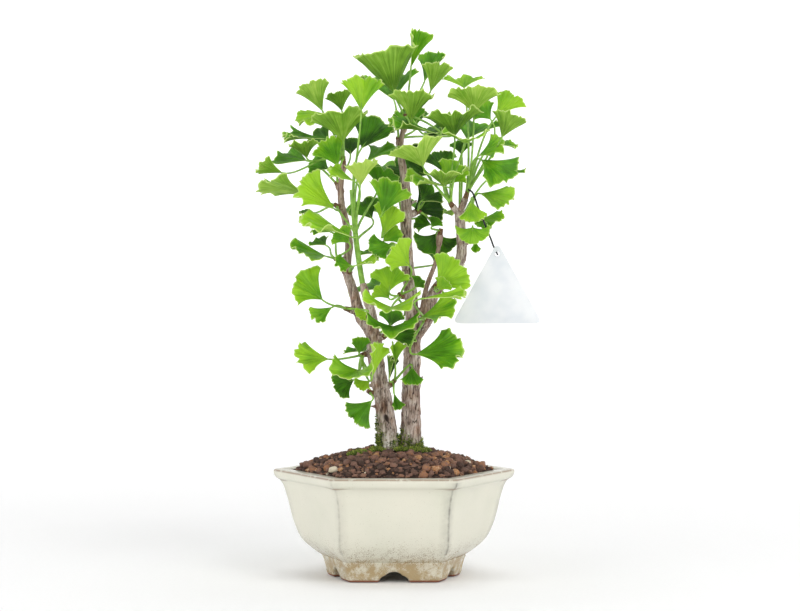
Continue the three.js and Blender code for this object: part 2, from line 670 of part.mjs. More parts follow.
function leafOf([habit, base, tip, face], order) {
  const from = place(base);
  const middle = place(tip).sub(from);
  const length = middle.length() * LEAF.lobes;
  middle.normalize();
  const up = new THREE.Vector3(...face);
  up.addScaledVector(middle, -up.dot(middle)).normalize();
  const side = new THREE.Vector3().crossVectors(up, middle);
  return { base: from, middle, side, up, length, habit: HABITS[habit], turn: 2 * Math.PI * chance(order) };
}

// The curve of a stalk: it leaves the stem half along it and half towards the blade, and meets the
// blade in line with its middle.
function stalkCurve(from, along, leaf) {
  const span = from.distanceTo(leaf.base);
  const way = leaf.base.clone().sub(from).setLength(1).add(along).setLength(0.3 * span);
  const arrive = leaf.base.clone().addScaledVector(leaf.middle, -0.3 * span);
  return new THREE.CubicBezierCurve3(from, from.clone().add(way), arrive, leaf.base);
}

function shootSolid(shoot, number) {
  const { to, way } = spurEnd(shoot);
  const foot = to.clone().addScaledVector(way, GAP);
  const stem = new THREE.CatmullRomCurve3([foot, foot.clone().addScaledVector(way, 2), ...shoot.stem.map(place)]);
  const tall = shoot.stem.length > 1;
  const pieces = [bar(stem, [2.1, 1.9, 1.5], 5, tall ? 5 : 2)];
  shoot.leaves.forEach((row, order) => {
    const leaf = leafOf(row, 100 * number + order);
    const share = (order + 1) / (shoot.leaves.length + 1);
    const from = stem.getPoint(tall ? 0.35 + 0.6 * share : 0.25 + 0.65 * share);
    pieces.push(leafSolid(leaf, stalkCurve(from, stem.getTangent(share), leaf)));
  });
  return fuse(pieces);
}

// ---- The label and its tie ----

function label() {
  const { apex: [x, z], halfWidth, height, round, hole } = LABEL;
  const corners = [[x, z], [x - halfWidth, z - height], [x + halfWidth, z - height]];
  const shape = new THREE.Shape();
  corners.forEach(([cornerX, cornerZ], index) => {
    const [beforeX, beforeZ] = corners[(index + 2) % 3];
    const [afterX, afterZ] = corners[(index + 1) % 3];
    const before = new THREE.Vector2(beforeX - cornerX, beforeZ - cornerZ).setLength(round);
    const after = new THREE.Vector2(afterX - cornerX, afterZ - cornerZ).setLength(round);
    if (index === 0) {
      shape.moveTo(cornerX + before.x, cornerZ + before.y);
    } else {
      shape.lineTo(cornerX + before.x, cornerZ + before.y);
    }
    shape.quadraticCurveTo(cornerX, cornerZ, cornerX + after.x, cornerZ + after.y);
  });
  shape.closePath();
  shape.holes.push(new THREE.Path().absarc(x, z - 10, hole / 2, 0, 2 * Math.PI));
  const settings = { depth: LABEL.thickness, bevelEnabled: false, curveSegments: 5 };
  const geometry = new THREE.ExtrudeGeometry(shape, settings);
  geometry.rotateX(Math.PI / 2);
  geometry.translate(0, LABEL.depth, 0);
  return solid(geometry);
}

function tie() {
  const section = new THREE.Shape();
  for (let i = 0; i < 8; i += 1) {
    const angle = i * Math.PI / 4;
    section[i ? 'lineTo' : 'moveTo'](TIE.radius * Math.cos(angle), TIE.radius * Math.sin(angle));
  }
  section.closePath();
  const extrudePath = new THREE.CatmullRomCurve3(TIE.line.map((point) => new THREE.Vector3(...point)));
  return solid(new THREE.ExtrudeGeometry(section, { steps: 15, extrudePath, bevelEnabled: false }));
}

// ---- The plant ----

function piece(name, shape, color, roughness) {
  const mesh = new THREE.Mesh(geometryOf(shape), new THREE.MeshStandardMaterial({ color, roughness, metalness: 0 }));
  mesh.name = name;
  return mesh;
}

const bonsai = new THREE.Group();
bonsai.add(
  piece('pot', pot(), COLOURS.glaze, 0.3),
  piece('soil', soil().subtract(socket('left')).subtract(socket('right')), COLOURS.soil, 0.95),
  piece('trunk_left', trunk('left'), COLOURS.bark, 0.9),
  piece('trunk_right', trunk('right'), COLOURS.bark, 0.9),
  piece('label', label(), COLOURS.label, 0.35),
  piece('label_tie', tie(), COLOURS.tie, 0.5),
);
Object.entries(SHOOTS).forEach(([name, shoot], number) => {
  bonsai.add(piece(`shoot_${name}`, shootSolid(shoot, number + 1), COLOURS.leaf, 0.45));
});

export default bonsai;
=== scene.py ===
import math

import bmesh
import bpy
from mathutils import Matrix, Vector, noise


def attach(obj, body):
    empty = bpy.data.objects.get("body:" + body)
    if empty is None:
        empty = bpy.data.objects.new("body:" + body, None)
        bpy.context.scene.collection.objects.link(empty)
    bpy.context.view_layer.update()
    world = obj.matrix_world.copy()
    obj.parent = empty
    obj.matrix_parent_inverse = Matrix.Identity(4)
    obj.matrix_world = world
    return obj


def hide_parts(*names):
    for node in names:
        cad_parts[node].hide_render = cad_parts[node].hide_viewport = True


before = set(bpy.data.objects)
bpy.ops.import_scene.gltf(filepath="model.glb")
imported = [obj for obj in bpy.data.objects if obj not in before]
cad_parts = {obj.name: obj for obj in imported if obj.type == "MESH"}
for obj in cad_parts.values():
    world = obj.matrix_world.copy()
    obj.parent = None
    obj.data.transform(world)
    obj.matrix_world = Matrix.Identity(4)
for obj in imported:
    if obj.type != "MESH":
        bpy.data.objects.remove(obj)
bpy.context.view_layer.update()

scene = bpy.context.scene
MM = 0.001

# ---- Sizes, in millimetres unless they say otherwise ----

# The eye stands level in front of the pot; its lens is shifted so that the tree fills the picture.
EYE = {"distance": 1820, "height": 260}
CAMERA = {"lens": 99.1, "shift": (0.0075, -0.0569)}

# Lamps: place and size in metres, power in watts. Then the strength of the sky.
LAMPS = {
    "key": ((1.0, -1.4, 1.7), 1.1, 14),
    "fill": ((-1.5, -1.3, 0.9), 1.4, 5.5),
    "top": ((0, 0.2, 2.1), 1.4, 15),
}
SKY = 0.22
STAGE = {"floor": 2600, "bend": 900, "wall": 2600, "below": 0.3}

TIE = {
    "radius": 0.75,
    "steps": 50,
    "line": [
        [61, -8, 318], [64, -10, 316], [66, -12, 312], [69, -14, 303], [73, -16, 293], [76, -17, 285],
        [79, -17, 278], [82, -16.8, 270], [84.2, -17.6, 265.6], [84.5, -20, 264.8], [84.5, -22.5, 264.6],
    ],
}

POT = {
    "height": 87.6, "underside": 14.7, "wall": 7.5, "floor": 9, "floor_side": 58, "mouth": 85,
    "hole": 18, "holes_at": [-24, 24],
}

# Distance of a side corner from the middle, and height, up the bowl and over its rim.
BOWL = [
    [56.7, 14.7], [68, 22.5], [76.8, 30.8], [82.3, 42.3], [85.4, 52], [87.9, 62], [90, 69], [92.2, 75],
]
RIM = [
    [94.6, 78.4], [96.4, 79.4], [98.4, 80.9], [99.6, 83.2], [100, 85.2], [99.6, 86.6], [98.6, 87.4],
    [97.2, 87.6],
]

# The feet in the same way, then the gaps between them: half the width of each opening, how far it cuts in,
# and its outline as shares of the half width and heights. Sides longer than `wide_side` get the wide one.
FEET = {
    "outside": [[54.5, 0], [56.2, 3], [57.2, 9], [58.6, 14], [60.5, 17]],
    "inside": [[44, -1], [45.5, 12], [44, 15.5]],
    "wide_side": 60, "wide_opening": 12, "narrow_opening": 8, "reach": 70,
    "cloud": [
        (-1, -3), (-1, 0.4), (-0.96, 2.6), (-0.8, 4.6), (-0.56, 5.4), (-0.44, 7), (-0.25, 8.3), (0, 8.6),
    ],
}

# Where the glaze is worn thin, and how much from 0 to 1; the groove under the rim's roll gets a line of
# painted shade.
WEAR = {
    "right_corners": 0.9, "left_corners": 0.45, "elsewhere": 0.2, "corner_width": 1.3,
    "roll_at": 86.6, "roll": 0.85, "groove_at": 78.6, "groove_shade": 0.7,
}

SOIL = {"edge": 83.5, "top": 103, "below_rim": 1.6, "rounding": 2.6}
PEBBLE = {"place": (-48, -50), "radius": 4}

# Passes: how many tries, the least and greatest radius, and how close they lie as a share of touching.
# Trunks: the places that they keep clear, with a radius.
GRANULES = {
    "reach": (82, 72),
    "passes": [(1500, 3.1, 4.5, 0.8), (3500, 2.1, 3.0, 0.74), (6500, 1.3, 2.0, 0.6)],
    "trunks": [(-5, -2, 8), (14, 2, 8)],
}

# Cushions of moss on the soil: middle, half width, half depth and how many tips.
CUSHIONS = [
    [18, -13, 9, 7, 520], [5, -15, 5, 6, 260], [25, -5, 5, 7, 220],
    [-30, -18, 8, 5, 380], [-15, -8, 5, 7, 300], [-13, -18, 6, 4, 200],
]

# A tip of moss: the radius at its foot and its end, and the least and greatest length.
TIPS = {"radii": (0.42, 0.08), "lengths": (1.4, 3.0)}

# Marks on the front of the left trunk: the knot hole, a bare brown hollow above it, and lichen low down. The
# hole and the hollow are also painted darker as shade.
KNOT = {"x": -6.2, "z": 130, "wide": 2.4, "tall": 2.8, "tilt": 0.4, "depth": 3.4}
HOLLOW = {"x": -8, "z": 139, "wide": 3, "tall": 6, "tilt": 0, "depth": 1.3}
LICHEN = {"x": -5, "z": 106, "wide": 4, "tall": 13, "tilt": 0}

# A spur: the radius at its root and tip, less or more in turn in its rings, and at its very end.
SPURS = {"radii": (2.5, 2.9), "rings": (-0.15, 0.35), "end": 2.0, "steps": 14}

# A blade's wall, its lobes past the middle line, its notch as a share of its spread, and its mesh; the
# radius of the stalk at both ends, and of the keel under the blade at shares of its length.
LEAF = {
    "thickness": 0.42, "lobes": 1.12, "notch_width": 0.1, "across": 56, "along": 14,
    "stalk": (1.1, 0.72), "stalk_steps": 14,
    "keel": [(0.05, 0.6), (0.12, 0.47), (0.2, 0.34), (0.3, 0.2)],
}
STEM = {"radii": [2.4, 2.3, 1.8], "sunk": 1.2}

# Where each kind of thing starts in the row of random numbers.
SEEDS = {"leaves": 9000, "granules": 50_000, "bark_moss": 60_000, "cushions": 300_000, "moss_tips": 400_000}

# How a blade is held, in degrees: half its spread, the cone that it curls into, the fold along its
# middle; then droop and wave as shares of its length.
HABITS = {
    "fan": [54, 70, 0, 0.06, 0.05],
    "wide": [92, 74, 0, 0.06, 0.05],
    "funnel": [60, 38, 0, -0.02, 0.05],
    "cup": [58, 50, 0, 0.02, 0.06],
    "bowl": [76, 50, 0, 0.04, 0.05],
    "wedge": [40, 56, 0, 0.02, 0.05],
    "fold": [36, 86, 48, 0.02, 0.04],
    "spoon": [32, 70, 0, 0.06, 0.03],
    "hang": [54, 58, 0, 0.24, 0.05],
}

# Limbs: points along the middle and the radius at each.
LIMBS = {
    "left": [
        [[[-6, -2, 62], [-5, -2, 101], [-8, -3, 140], [-14, -4, 170], [-17, -4, 200]],
         [7.5, 9.2, 7.6, 6.8, 6.6]],
        [[[-15, -4, 190], [-22, -2, 205], [-27, 0, 212], [-34, 3, 235], [-39, 4, 252],
          [-37, 3, 275], [-44, 2, 312], [-43, 2, 334]],
         [5.6, 5.2, 5, 4.2, 4, 3.3, 2.8, 2.2]],
        [[[-16, -5, 194], [-19, -9, 217], [-25, -12, 237]],
         [5, 4.3, 3.4]],
    ],
    "right": [
        [[[13, 2, 62], [14, 2, 101], [14, 2, 141], [15, 2, 184], [16, 2, 203]],
         [7.5, 9.3, 7.9, 7.2, 7]],
        [[[16, 2, 196], [14, 4, 229], [10, 6, 272], [10, 6, 302], [9, 5, 327], [5, 4, 350],
          [8, 4, 370]],
         [6.2, 5.6, 5.2, 4.6, 3.8, 2.8, 2]],
        [[[17, 2, 197], [28, -1, 213], [31, -2, 229], [44, -3, 246], [55, -3, 261],
          [54, -2, 300]],
         [5.8, 5.6, 5.2, 4.8, 4.6, 4.2]],
        [[[23, 2, 214], [27, 7, 238], [34, 9, 257], [38, 9, 276]],
         [2.6, 2.2, 1.9, 1.6]],
    ],
}

# Stubs of old twigs: from inside the limb to the broken end, and the radius.
STUBS = {
    "left": [
        [[-17, -5, 156], [-25, -9, 157], 1.3], [[-15, -5, 139], [-19, -10, 139], 1.2],
        [[-37, 3, 248], [-43, 0, 250], 1.6], [[-27, 0, 214], [-31, -3, 209], 1.5],
    ],
    "right": [
        [[10, 6, 306], [19, 4, 309], 1.3], [[20, 2, 160], [24, -2, 164], 1.2],
    ],
}

# Shoots: the wood that each grows from, its spur from inside a limb to the tip, then the points of its
# green stem, and its leaves in turn: habit, base and tip of the middle line, the way that the upper face
# looks, and the tone from 0, old and dark, to 1, young and yellow. The tone also holds painted shade:
# leaves that sit in the shade inside the crown and behind the trunks are given low, dark tones.
SHOOTS = {
    "crown_top": ("right", [8, 4, 366], [9, 3, 375], [[9, 2, 381]], [
        ["fold", [14, 2, 419], [16, -1, 448], [6, -8, 1], 0.55],
        ["funnel", [0, -6, 398], [-7, -33, 430], [-1, 8, 6], 0.36],
        ["wedge", [25, 22, 407], [34, 27, 430], [-8, -7, 2], 0.3],
        ["wedge", [30, -8, 399], [39, -16, 421], [-5, 7, 3], 0.45],
        ["wedge", [14, -24, 375], [16, -42, 398], [0, 8, 6], 0.4],
        ["wedge", [37, -16, 364], [1, -26, 373], [1, -2, 9], 0.42],
        ["fan", [15, 8, 369], [12, 14, 385], [0, -8, -3], 0.3],
        ["fan", [26, 14, 364], [40, 24, 368], [0, -2, 9], 0.2],
    ]),
    "crown_back": ("right", [5, 4, 352], [4, 13, 358], [[3, 18, 361]], [
        ["cup", [0, 32, 392], [-8, 54, 412], [0, -5, 8], 0.4],
        ["fan", [19, 36, 372], [18, 42, 383], [0, -8, 3], 0.15],
        ["fan", [45, 30, 363], [28, 36, 367], [0, -4, 8], 0.15],
    ]),
    "left_top": ("left", [-43, 2, 330], [-42, 1, 340], [[-42, 0, 346]], [
        ["wedge", [-43, 10, 383], [-46, 1, 398], [-2, 8, 6], 0.3],
        ["wedge", [-59, -6, 383], [-70, -11, 405], [4, 8, 2], 0.6],
        ["hang", [-55, 4, 380], [-78, -2, 380], [0, -3, 9], 0.75],
        ["cup", [-42, -18, 358], [-45, -38, 382], [-1, 8, 7], 0.42],
        ["wedge", [-57, 8, 360], [-88, 2, 362], [0, -2, 9], 0.45],
        ["wedge", [-72, -10, 344], [-76, -24, 357], [0, 8, 8], 0.35],
        ["wedge", [-46, -10, 337], [-56, -18, 358], [2, -8, 1], 0.5],
        ["fan", [-54, 12, 335], [-67, 15, 342], [2, -8, 4], 0.25],
        ["wedge", [-92, -8, 332], [-111, -14, 337], [-2, 5, 9], 0.55],
    ]),
    "left_back": ("left", [-43, 2, 316], [-46, 12, 321], [[-48, 17, 324]], [
        ["cup", [-53, 30, 357], [-66, 38, 364], [0, -7, 5], 0.2],
        ["fan", [-36, 34, 347], [-37, 42, 360], [0, -8, 4], 0.15],
        ["fan", [-72, 32, 342], [-96, 44, 346], [0, -4, 8], 0.3],
    ]),
    "left_leader": (
        "left", [-24, -12, 234], [-26, -12, 241], [[-31, -13, 274], [-33, -13, 294], [-35, -12, 318]], [
        ["wedge", [-28, -42, 321], [-25, -56, 340], [-4, 6, 6], 0.95],
        ["fan", [-18, 10, 294], [-28, 16, 308], [2, -8, 3], 0.25],
        ["fan", [-13, 0, 319], [-8, 5, 335], [0, -8, 3], 0.2],
        ["fan", [-33, -30, 325], [-52, -36, 334], [1, -3, 8], 0.85],
        ["hang", [-23, -20, 340], [-3, -15, 358], [-6, -4, 8], 0.4],
        ["cup", [-27, -4, 352], [-11, 3, 374], [-3, -8, 4], 0.2],
        ["wedge", [-27, -42, 383], [-26, -34, 409], [0, -10, 4], 0.8],
    ]),
    "left_middle": ("left", [-42, 2, 303], [-46, -6, 304], [[-49, -10, 306]], [
        ["wedge", [-49, -26, 302], [-76, -34, 321], [6, -7, 5], 0.95],
        ["fan", [-72, -14, 314], [-108, -20, 322], [-1, 2, 9], 0.5],
        ["fan", [-35, -43, 279], [-73, -52, 294], [0, -2, 9], 0.75],
        ["fan", [-67, 4, 299], [-77, 6, 300], [0, -2, 9], 0.2],
    ]),
    "left_lower": ("left", [-38, 4, 258], [-45, 0, 260], [[-49, -3, 261]], [
        ["fan", [-56, -14, 263], [-78, -30, 269], [0, -4, 8], 0.55],
        ["fan", [-52, 8, 283], [-66, 12, 286], [0, -3, 8], 0.4],
        ["fan", [-37, -25, 274], [-46, -26, 284], [0, -8, 1], 0.6],
        ["fan", [-56, 28, 272], [-65, 36, 277], [0, -5, 8], 0.3],
    ]),
    "left_wing": ("left", [-38, 3, 250], [-37, -5, 250], [[-37, -10, 250]], [
        ["wedge", [-33, -24, 255], [-16, -31, 260], [0, -3, 9], 0.75],
        ["fan", [-35, -20, 255], [-47, -26, 258], [1, -5, 6], 0.5],
    ]),
    "left_outer": ("left", [-29, 1, 216], [-37, -5, 219], [[-41, -8, 220]], [
        ["fan", [-59, -20, 227], [-78, -27, 244], [5, -7, 4], 0.7],
        ["wedge", [-51, -26, 221], [-65, -32, 212], [1, -5, 8], 0.55],
        ["fan", [-22, -20, 217], [-30, -24, 214], [1, -6, 6], 0.8],
    ]),
    "left_skirt": ("left", [-16, -4, 184], [-24, -10, 182], [[-28, -13, 181]], [
        ["fan", [-54, -30, 178], [-79, -37, 180], [1, -5, 8], 0.75],
        ["bowl", [-29, -32, 169], [-40, -51, 163], [0, -3, 9], 0.65],
        ["wedge", [-18, -46, 163], [-14, -48, 189], [9, -4, 1], 0.95],
        ["wedge", [-29, -18, 182], [-28, -22, 195], [3, -8, 3], 0.5],
        ["fan", [-33, -12, 161], [-48, -16, 155], [1, -8, 3], 0.15],
        ["fan", [-20, -22, 160], [-29, -28, 155], [0, -5, 8], 0.9],
    ]),
    "left_foot": ("left", [-9, -3, 147], [-18, -8, 150], [[-22, -10, 152]], [
        ["wedge", [-18, -22, 144], [-33, -28, 129], [3, -8, 2], 0.25],
    ]),
    "between": ("left", [-10, -4, 152], [-2, -12, 158], [[1, -15, 161]], [
        ["wedge", [15, -24, 172], [15, -30, 158], [0, -8, 3], 0.5],
        ["fold", [0, -24, 150], [2, -27, 137], [3, -8, 1], 0.4],
        ["fold", [-4, -22, 161], [-5, -20, 179], [8, -3, 0], 0.15],
        ["fold", [1, -24, 174], [0, -26, 191], [4, -8, 0], 0.7],
    ]),
    "fork": ("left", [-15, -5, 194], [-8, -12, 197], [[-5, -15, 199]], [
        ["fan", [-6, -20, 197], [16, -22, 198], [0, -5, 8], 0.25],
        ["bowl", [-1, -34, 205], [-1, -58, 200], [0, -1, 9], 0.45],
        ["fan", [-3, -20, 205], [-1, -22, 218], [0, -8, 3], 0.35],
    ]),
    "inner_low": ("right", [14, 4, 229], [7, -4, 230], [[4, -8, 232]], [
        ["bowl", [-2, -28, 221], [-2, -54, 219], [0, -3, 9], 0.85],
        ["fan", [-4, -18, 234], [-3, -26, 252], [0, -8, 4], 0.75],
        ["fan", [13, -28, 255], [0, -37, 269], [1, -8, 4], 0.9],
        ["cup", [17, -12, 237], [23, -14, 244], [-2, -8, 3], 0.3],
        ["fan", [-4, -14, 228], [-12, -16, 239], [1, -8, 2], 0.7],
    ]),
    "fork_right": ("right", [24, 0, 207], [25, -9, 210], [[26, -14, 211]], [
        ["fan", [18, -46, 182], [53, -50, 186], [0, -5, 8], 0.4],
        ["fan", [22, -36, 212], [48, -46, 222], [-1, -4, 8], 0.55],
        ["spoon", [23, -60, 228], [55, -65, 233], [0, -2, 9], 0.85],
    ]),
    "right_lower": ("right", [34, -2, 234], [34, -11, 237], [[34, -16, 239]], [
        ["fan", [35, -24, 236], [54, -28, 255], [-3, -8, 3], 0.9],
        ["fan", [37, -31, 235], [43, -33, 243], [0, -8, 2], 0.75],
    ]),
    "trunk_middle": ("right", [10, 6, 270], [4, -2, 271], [[1, -6, 272]], [
        ["fan", [-1, -14, 272], [-18, -20, 269], [0, -6, 6], 0.45],
        ["fan", [-9, -8, 275], [2, -10, 286], [-2, -8, 2], 0.6],
    ]),
    "trunk_upper": ("right", [9, 5, 316], [4, -3, 318], [[1, -7, 320]], [
        ["wedge", [-10, -26, 298], [-1, -34, 323], [0, -9, 3], 0.5],
        ["wedge", [-9, -14, 280], [-1, -20, 303], [-4, -8, 2], 0.75],
    ]),
    # The low tones of these leaves behind the trunk are painted shade.
    "trunk_dark": ("right", [10, 6, 296], [18, 10, 299], [[22, 12, 301]], [
        ["fan", [28, 20, 330], [0, 28, 341], [2, -8, 5], 0.1],
        ["fan", [22, 4, 308], [34, 10, 318], [-2, -8, 3], 0.15],
        ["fan", [16, 18, 300], [36, 24, 309], [-1, -8, 4], 0.15],
        ["fan", [31, 16, 289], [18, 18, 292], [1, -6, 5], 0.3],
    ]),
    "twig": ("right", [37, 9, 272], [38, 9, 281], [[39, 9, 286]], [
        ["wide", [35, 14, 282], [33, 18, 265], [1, -8, 3], 0.15],
        ["fan", [31, 4, 287], [36, 6, 294], [-2, -8, 2], 0.4],
    ]),
    "right_spur": ("right", [54, -2, 297], [48, -8, 305], [[46, -10, 309]], [
        ["cup", [50, -14, 362], [47, -38, 381], [0, 8, 7], 0.3],
        ["bowl", [59, -36, 356], [61, -57, 361], [0, -3, 8], 0.6],
        ["cup", [24, -46, 337], [17, -67, 355], [-2, 8, 7], 0.6],
        ["cup", [41, -24, 321], [45, -46, 332], [0, -3, 9], 0.5],
        ["wedge", [45, -20, 320], [15, -32, 327], [1, -2, 9], 0.65],
        ["cup", [43, -8, 322], [54, -10, 338], [-2, -8, 2], 0.45],
        ["fan", [40, 0, 333], [37, 2, 349], [0, -8, 2], 0.15],
    ]),
    "right_top": ("right", [54, -2, 298], [59, -1, 311], [[61, -1, 317]], [
        ["fan", [58, 24, 402], [56, 43, 412], [0, -5, 9], 0.75],
        ["fan", [66, -14, 381], [66, -30, 403], [0, 8, 5], 0.78],
        ["wedge", [84, 14, 378], [99, 20, 395], [-5, -8, 3], 0.85],
        ["fan", [80, -6, 376], [71, -7, 387], [2, -8, 3], 0.5],
        ["wedge", [89, -26, 361], [97, -38, 380], [1, 8, 5], 0.5],
        ["fan", [70, -16, 346], [89, -23, 356], [-1, -5, 8], 0.5],
        ["fan", [86, 20, 355], [100, 24, 356], [0, -3, 9], 0.5],
        ["fan", [72, -20, 343], [94, -32, 329], [1, -6, 8], 0.4],
    ]),
    "right_side": ("right", [54, -2, 292], [62, 0, 299], [[66, 1, 302]], [
        ["fan", [71, -7, 315], [95, -16, 310], [0, -4, 8], 0.65],
        ["wedge", [64, -25, 309], [66, -32, 293], [0, -8, 2], 0.7],
        ["fan", [71, -3, 293], [88, -10, 295], [0, -4, 8], 0.55],
        ["fan", [76, 6, 296], [72, 8, 287], [1, -8, 1], 0.5],
    ]),
    "right_under": ("right", [55, -3, 272], [62, -8, 276], [[65, -10, 278]], [
        ["wide", [65, -22, 287], [65, -28, 275], [0, -8, 4], 0.6],
        ["fold", [67, -6, 277], [67, -8, 267], [1, -8, 2], 0.6],
    ]),
    "right_back": ("right", [54, -2, 284], [54, 8, 288], [[54, 13, 291]], [
        ["cup", [60, 34, 360], [70, 58, 373], [0, -5, 8], 0.4],
        ["fan", [56, 32, 347], [55, 36, 358], [0, -8, 3], 0.2],
        ["fan", [80, 28, 328], [97, 46, 336], [-2, -4, 8], 0.4],
    ]),
    "trunk_back": ("right", [10, 6, 286], [8, 17, 291], [[7, 22, 293]], [
        ["fan", [-2, 36, 330], [-12, 60, 340], [0, -4, 8], 0.4],
        ["fan", [22, 40, 296], [34, 62, 304], [0, -4, 8], 0.4],
        ["fan", [-14, 38, 300], [-32, 58, 306], [0, -4, 8], 0.4],
    ]),
    "trunk_back_low": ("right", [12, 5, 250], [11, 17, 252], [[11, 22, 253]], [
        ["fan", [-4, 32, 264], [-14, 56, 270], [0, -4, 8], 0.4],
        ["fan", [33, 32, 256], [47, 50, 260], [0, -4, 8], 0.2],
        ["fan", [-8, 28, 236], [-26, 48, 240], [0, -4, 8], 0.4],
    ]),
    "low_back": ("left", [-17, -4, 197], [-14, 7, 198], [[-13, 12, 199]], [
        ["fan", [8, 28, 214], [26, 48, 220], [0, -4, 8], 0.4],
        ["fan", [-23, 30, 184], [-33, 44, 189], [0, -5, 8], 0.3],
    ]),
}

# ---- Helpers ----


def srgb(code):
    """A hex colour as the linear red, green, blue and alpha that a socket takes."""
    channels = [int(code[i:i + 2], 16) / 255 for i in (1, 3, 5)]
    return [c / 12.92 if c <= 0.04045 else ((c + 0.055) / 1.055) ** 2.4 for c in channels] + [1]


def add(tree, kind, sockets=(), stops=(), **settings):
    """Adds a node with its settings, its inputs filled or linked, and the stops of a colour ramp.

    An input that is given a node is linked to the first output that the node has in use.
    """
    node = tree.nodes.new("ShaderNode" + kind)
    for name, value in settings.items():
        setattr(node, name, value)
    for name, value in dict(sockets).items():
        if isinstance(value, bpy.types.Node):
            value = next(output for output in value.outputs if output.enabled)
        if isinstance(value, bpy.types.NodeSocket):
            tree.links.new(value, node.inputs[name])
        else:
            node.inputs[name].default_value = value
    for i, (position, colour) in enumerate(stops):
        spots = node.color_ramp.elements
        spot = spots[i] if i < 2 else spots.new(position)
        spot.position = position
        spot.color = srgb(colour)
    return node


def material(name):
    """A new material with an empty node tree."""
    made = bpy.data.materials.new(name)
    made.use_nodes = True
    made.node_tree.nodes.clear()
    return made, made.node_tree


def chance(seed):
    """A seeded random number from 0 to 1 for a whole number."""
    t = (seed + 0x6D2B79F5) & 0xFFFFFFFF
    t = ((t ^ (t >> 15)) * (t | 1)) & 0xFFFFFFFF
    t ^= (t + (((t ^ (t >> 7)) * (t | 61)) & 0xFFFFFFFF)) & 0xFFFFFFFF
    return (t ^ (t >> 14)) / 4294967296


def mix(a, b, share):
    return a + (b - a) * share


def clamp(value):
    return min(1, max(0, value))


def between(values, share):
    """A value between the numbers of a list, at a share from 0 to 1 of its length."""
    at = min(share * (len(values) - 1), len(values) - 1.000001)
    first = int(at)
    return mix(values[first], values[first + 1], at - first)


def place(point):
    """A place on the plant, from where the eye sees it and its depth."""
    x, y, z = point
    nearness = 1 + y / EYE["distance"]
    return Vector((x * nearness, y, EYE["height"] + (z - EYE["height"]) * nearness))


def curve_point(points, share):
    """A point of the smooth curve through the points (centripetal Catmull-Rom)."""
    at = share * (len(points) - 1)
    first = min(int(at), len(points) - 2)
    weight = at - first
    p1, p2 = points[first], points[first + 1]
    p0 = points[first - 1] if first else 2 * points[0] - points[1]
    p3 = points[first + 2] if first + 2 < len(points) else 2 * points[-1] - points[-2]
    before, middle, after = [(b - a).length ** 0.5 for a, b in ((p0, p1), (p1, p2), (p2, p3))]
    leave = ((p1 - p0) / before - (p2 - p0) / (before + middle) + (p2 - p1) / middle) * middle
    reach = ((p2 - p1) / middle - (p3 - p1) / (middle + after) + (p3 - p2) / after) * middle
    squared = -3 * p1 + 3 * p2 - 2 * leave - reach
    cubed = 2 * p1 - 2 * p2 + leave + reach
    return p1 + leave * weight + squared * weight ** 2 + cubed * weight ** 3


def curve_way(points, share):
    """The way that the smooth curve runs at a share of its length."""
    ahead, behind = curve_point(points, min(share + 0.0001, 1)), curve_point(points, max(share - 0.0001, 0))
    return (ahead - behind).normalized()


def to_mesh(bm, name="work"):
    mesh = bpy.data.meshes.new(name)
    bm.to_mesh(mesh)
    bm.free()
    return mesh


def settled(data, *modifiers):
    """The mesh that an object with this data and these modifiers shows."""
    source = bpy.data.objects.new("work", data)
    scene.collection.objects.link(source)
    for kind, settings in modifiers:
        modifier = source.modifiers.new(kind, kind)
        for name, value in settings.items():
            setattr(modifier, name, value)
    graph = bpy.context.evaluated_depsgraph_get()
    result = bpy.data.meshes.new_from_object(source.evaluated_get(graph))
    bpy.data.objects.remove(source)
    return result


def carved(mesh, cutters, *finish):
    """The mesh with each cutter taken out of it and then finished by modifiers."""
    tools = [bpy.data.objects.new("cutter", cutter) for cutter in cutters]
    for tool in tools:
        scene.collection.objects.link(tool)
    cuts = [("BOOLEAN", {"operation": "DIFFERENCE", "object": tool, "solver": "EXACT"}) for tool in tools]
    result = settled(mesh, *cuts, *finish)
    for tool in tools:
        bpy.data.objects.remove(tool)
    return result


def turned(profile, steps):
    """A turning of [side, height] points around the upright axis, still open where they meet it."""
    bm = bmesh.new()
    line = [bm.verts.new((side, 0, height)) for side, height in profile]
    edges = [bm.edges.new(pair) for pair in zip(line, line[1:])]
    bmesh.ops.spin(bm, geom=line + edges, axis=(0, 0, 1), angle=2 * math.pi, steps=steps, use_merge=True)
    return bm


def welded(bm):
    """The shape with its loose points merged and its faces turned outwards."""
    bmesh.ops.remove_doubles(bm, verts=bm.verts, dist=0.001)
    bmesh.ops.recalc_face_normals(bm, faces=bm.faces)
    return bm


def round_curve(name, runs, depth, roundness):
    """A curve with a round section. Each run is its points and the radius at each, as a share of `depth`."""
    data = bpy.data.curves.new(name, "CURVE")
    data.dimensions = "3D"
    data.bevel_depth = depth
    data.bevel_resolution = roundness
    data.use_fill_caps = True
    for points, radii in runs:
        spline = data.splines.new("POLY")
        spline.points.add(len(points) - 1)
        for spot, point, radius in zip(spline.points, points, radii):
            spot.co = (*point, 1)
            spot.radius = radius
    return data


def bars(runs, roundness):
    """Closed round bars as one mesh: each run is its points and the radius at each."""
    return settled(round_curve("bars", runs, 1, roundness))


def join(bm, mesh, slot=0):
    """Adds a mesh to a shape and gives its faces a material slot. Returns its vertices."""
    faces = len(bm.faces)
    vertices = len(bm.verts)
    bm.from_mesh(mesh)
    bm.faces.ensure_lookup_table()
    bm.verts.ensure_lookup_table()
    for face in bm.faces[faces:]:
        face.material_index = slot
    return bm.verts[vertices:]


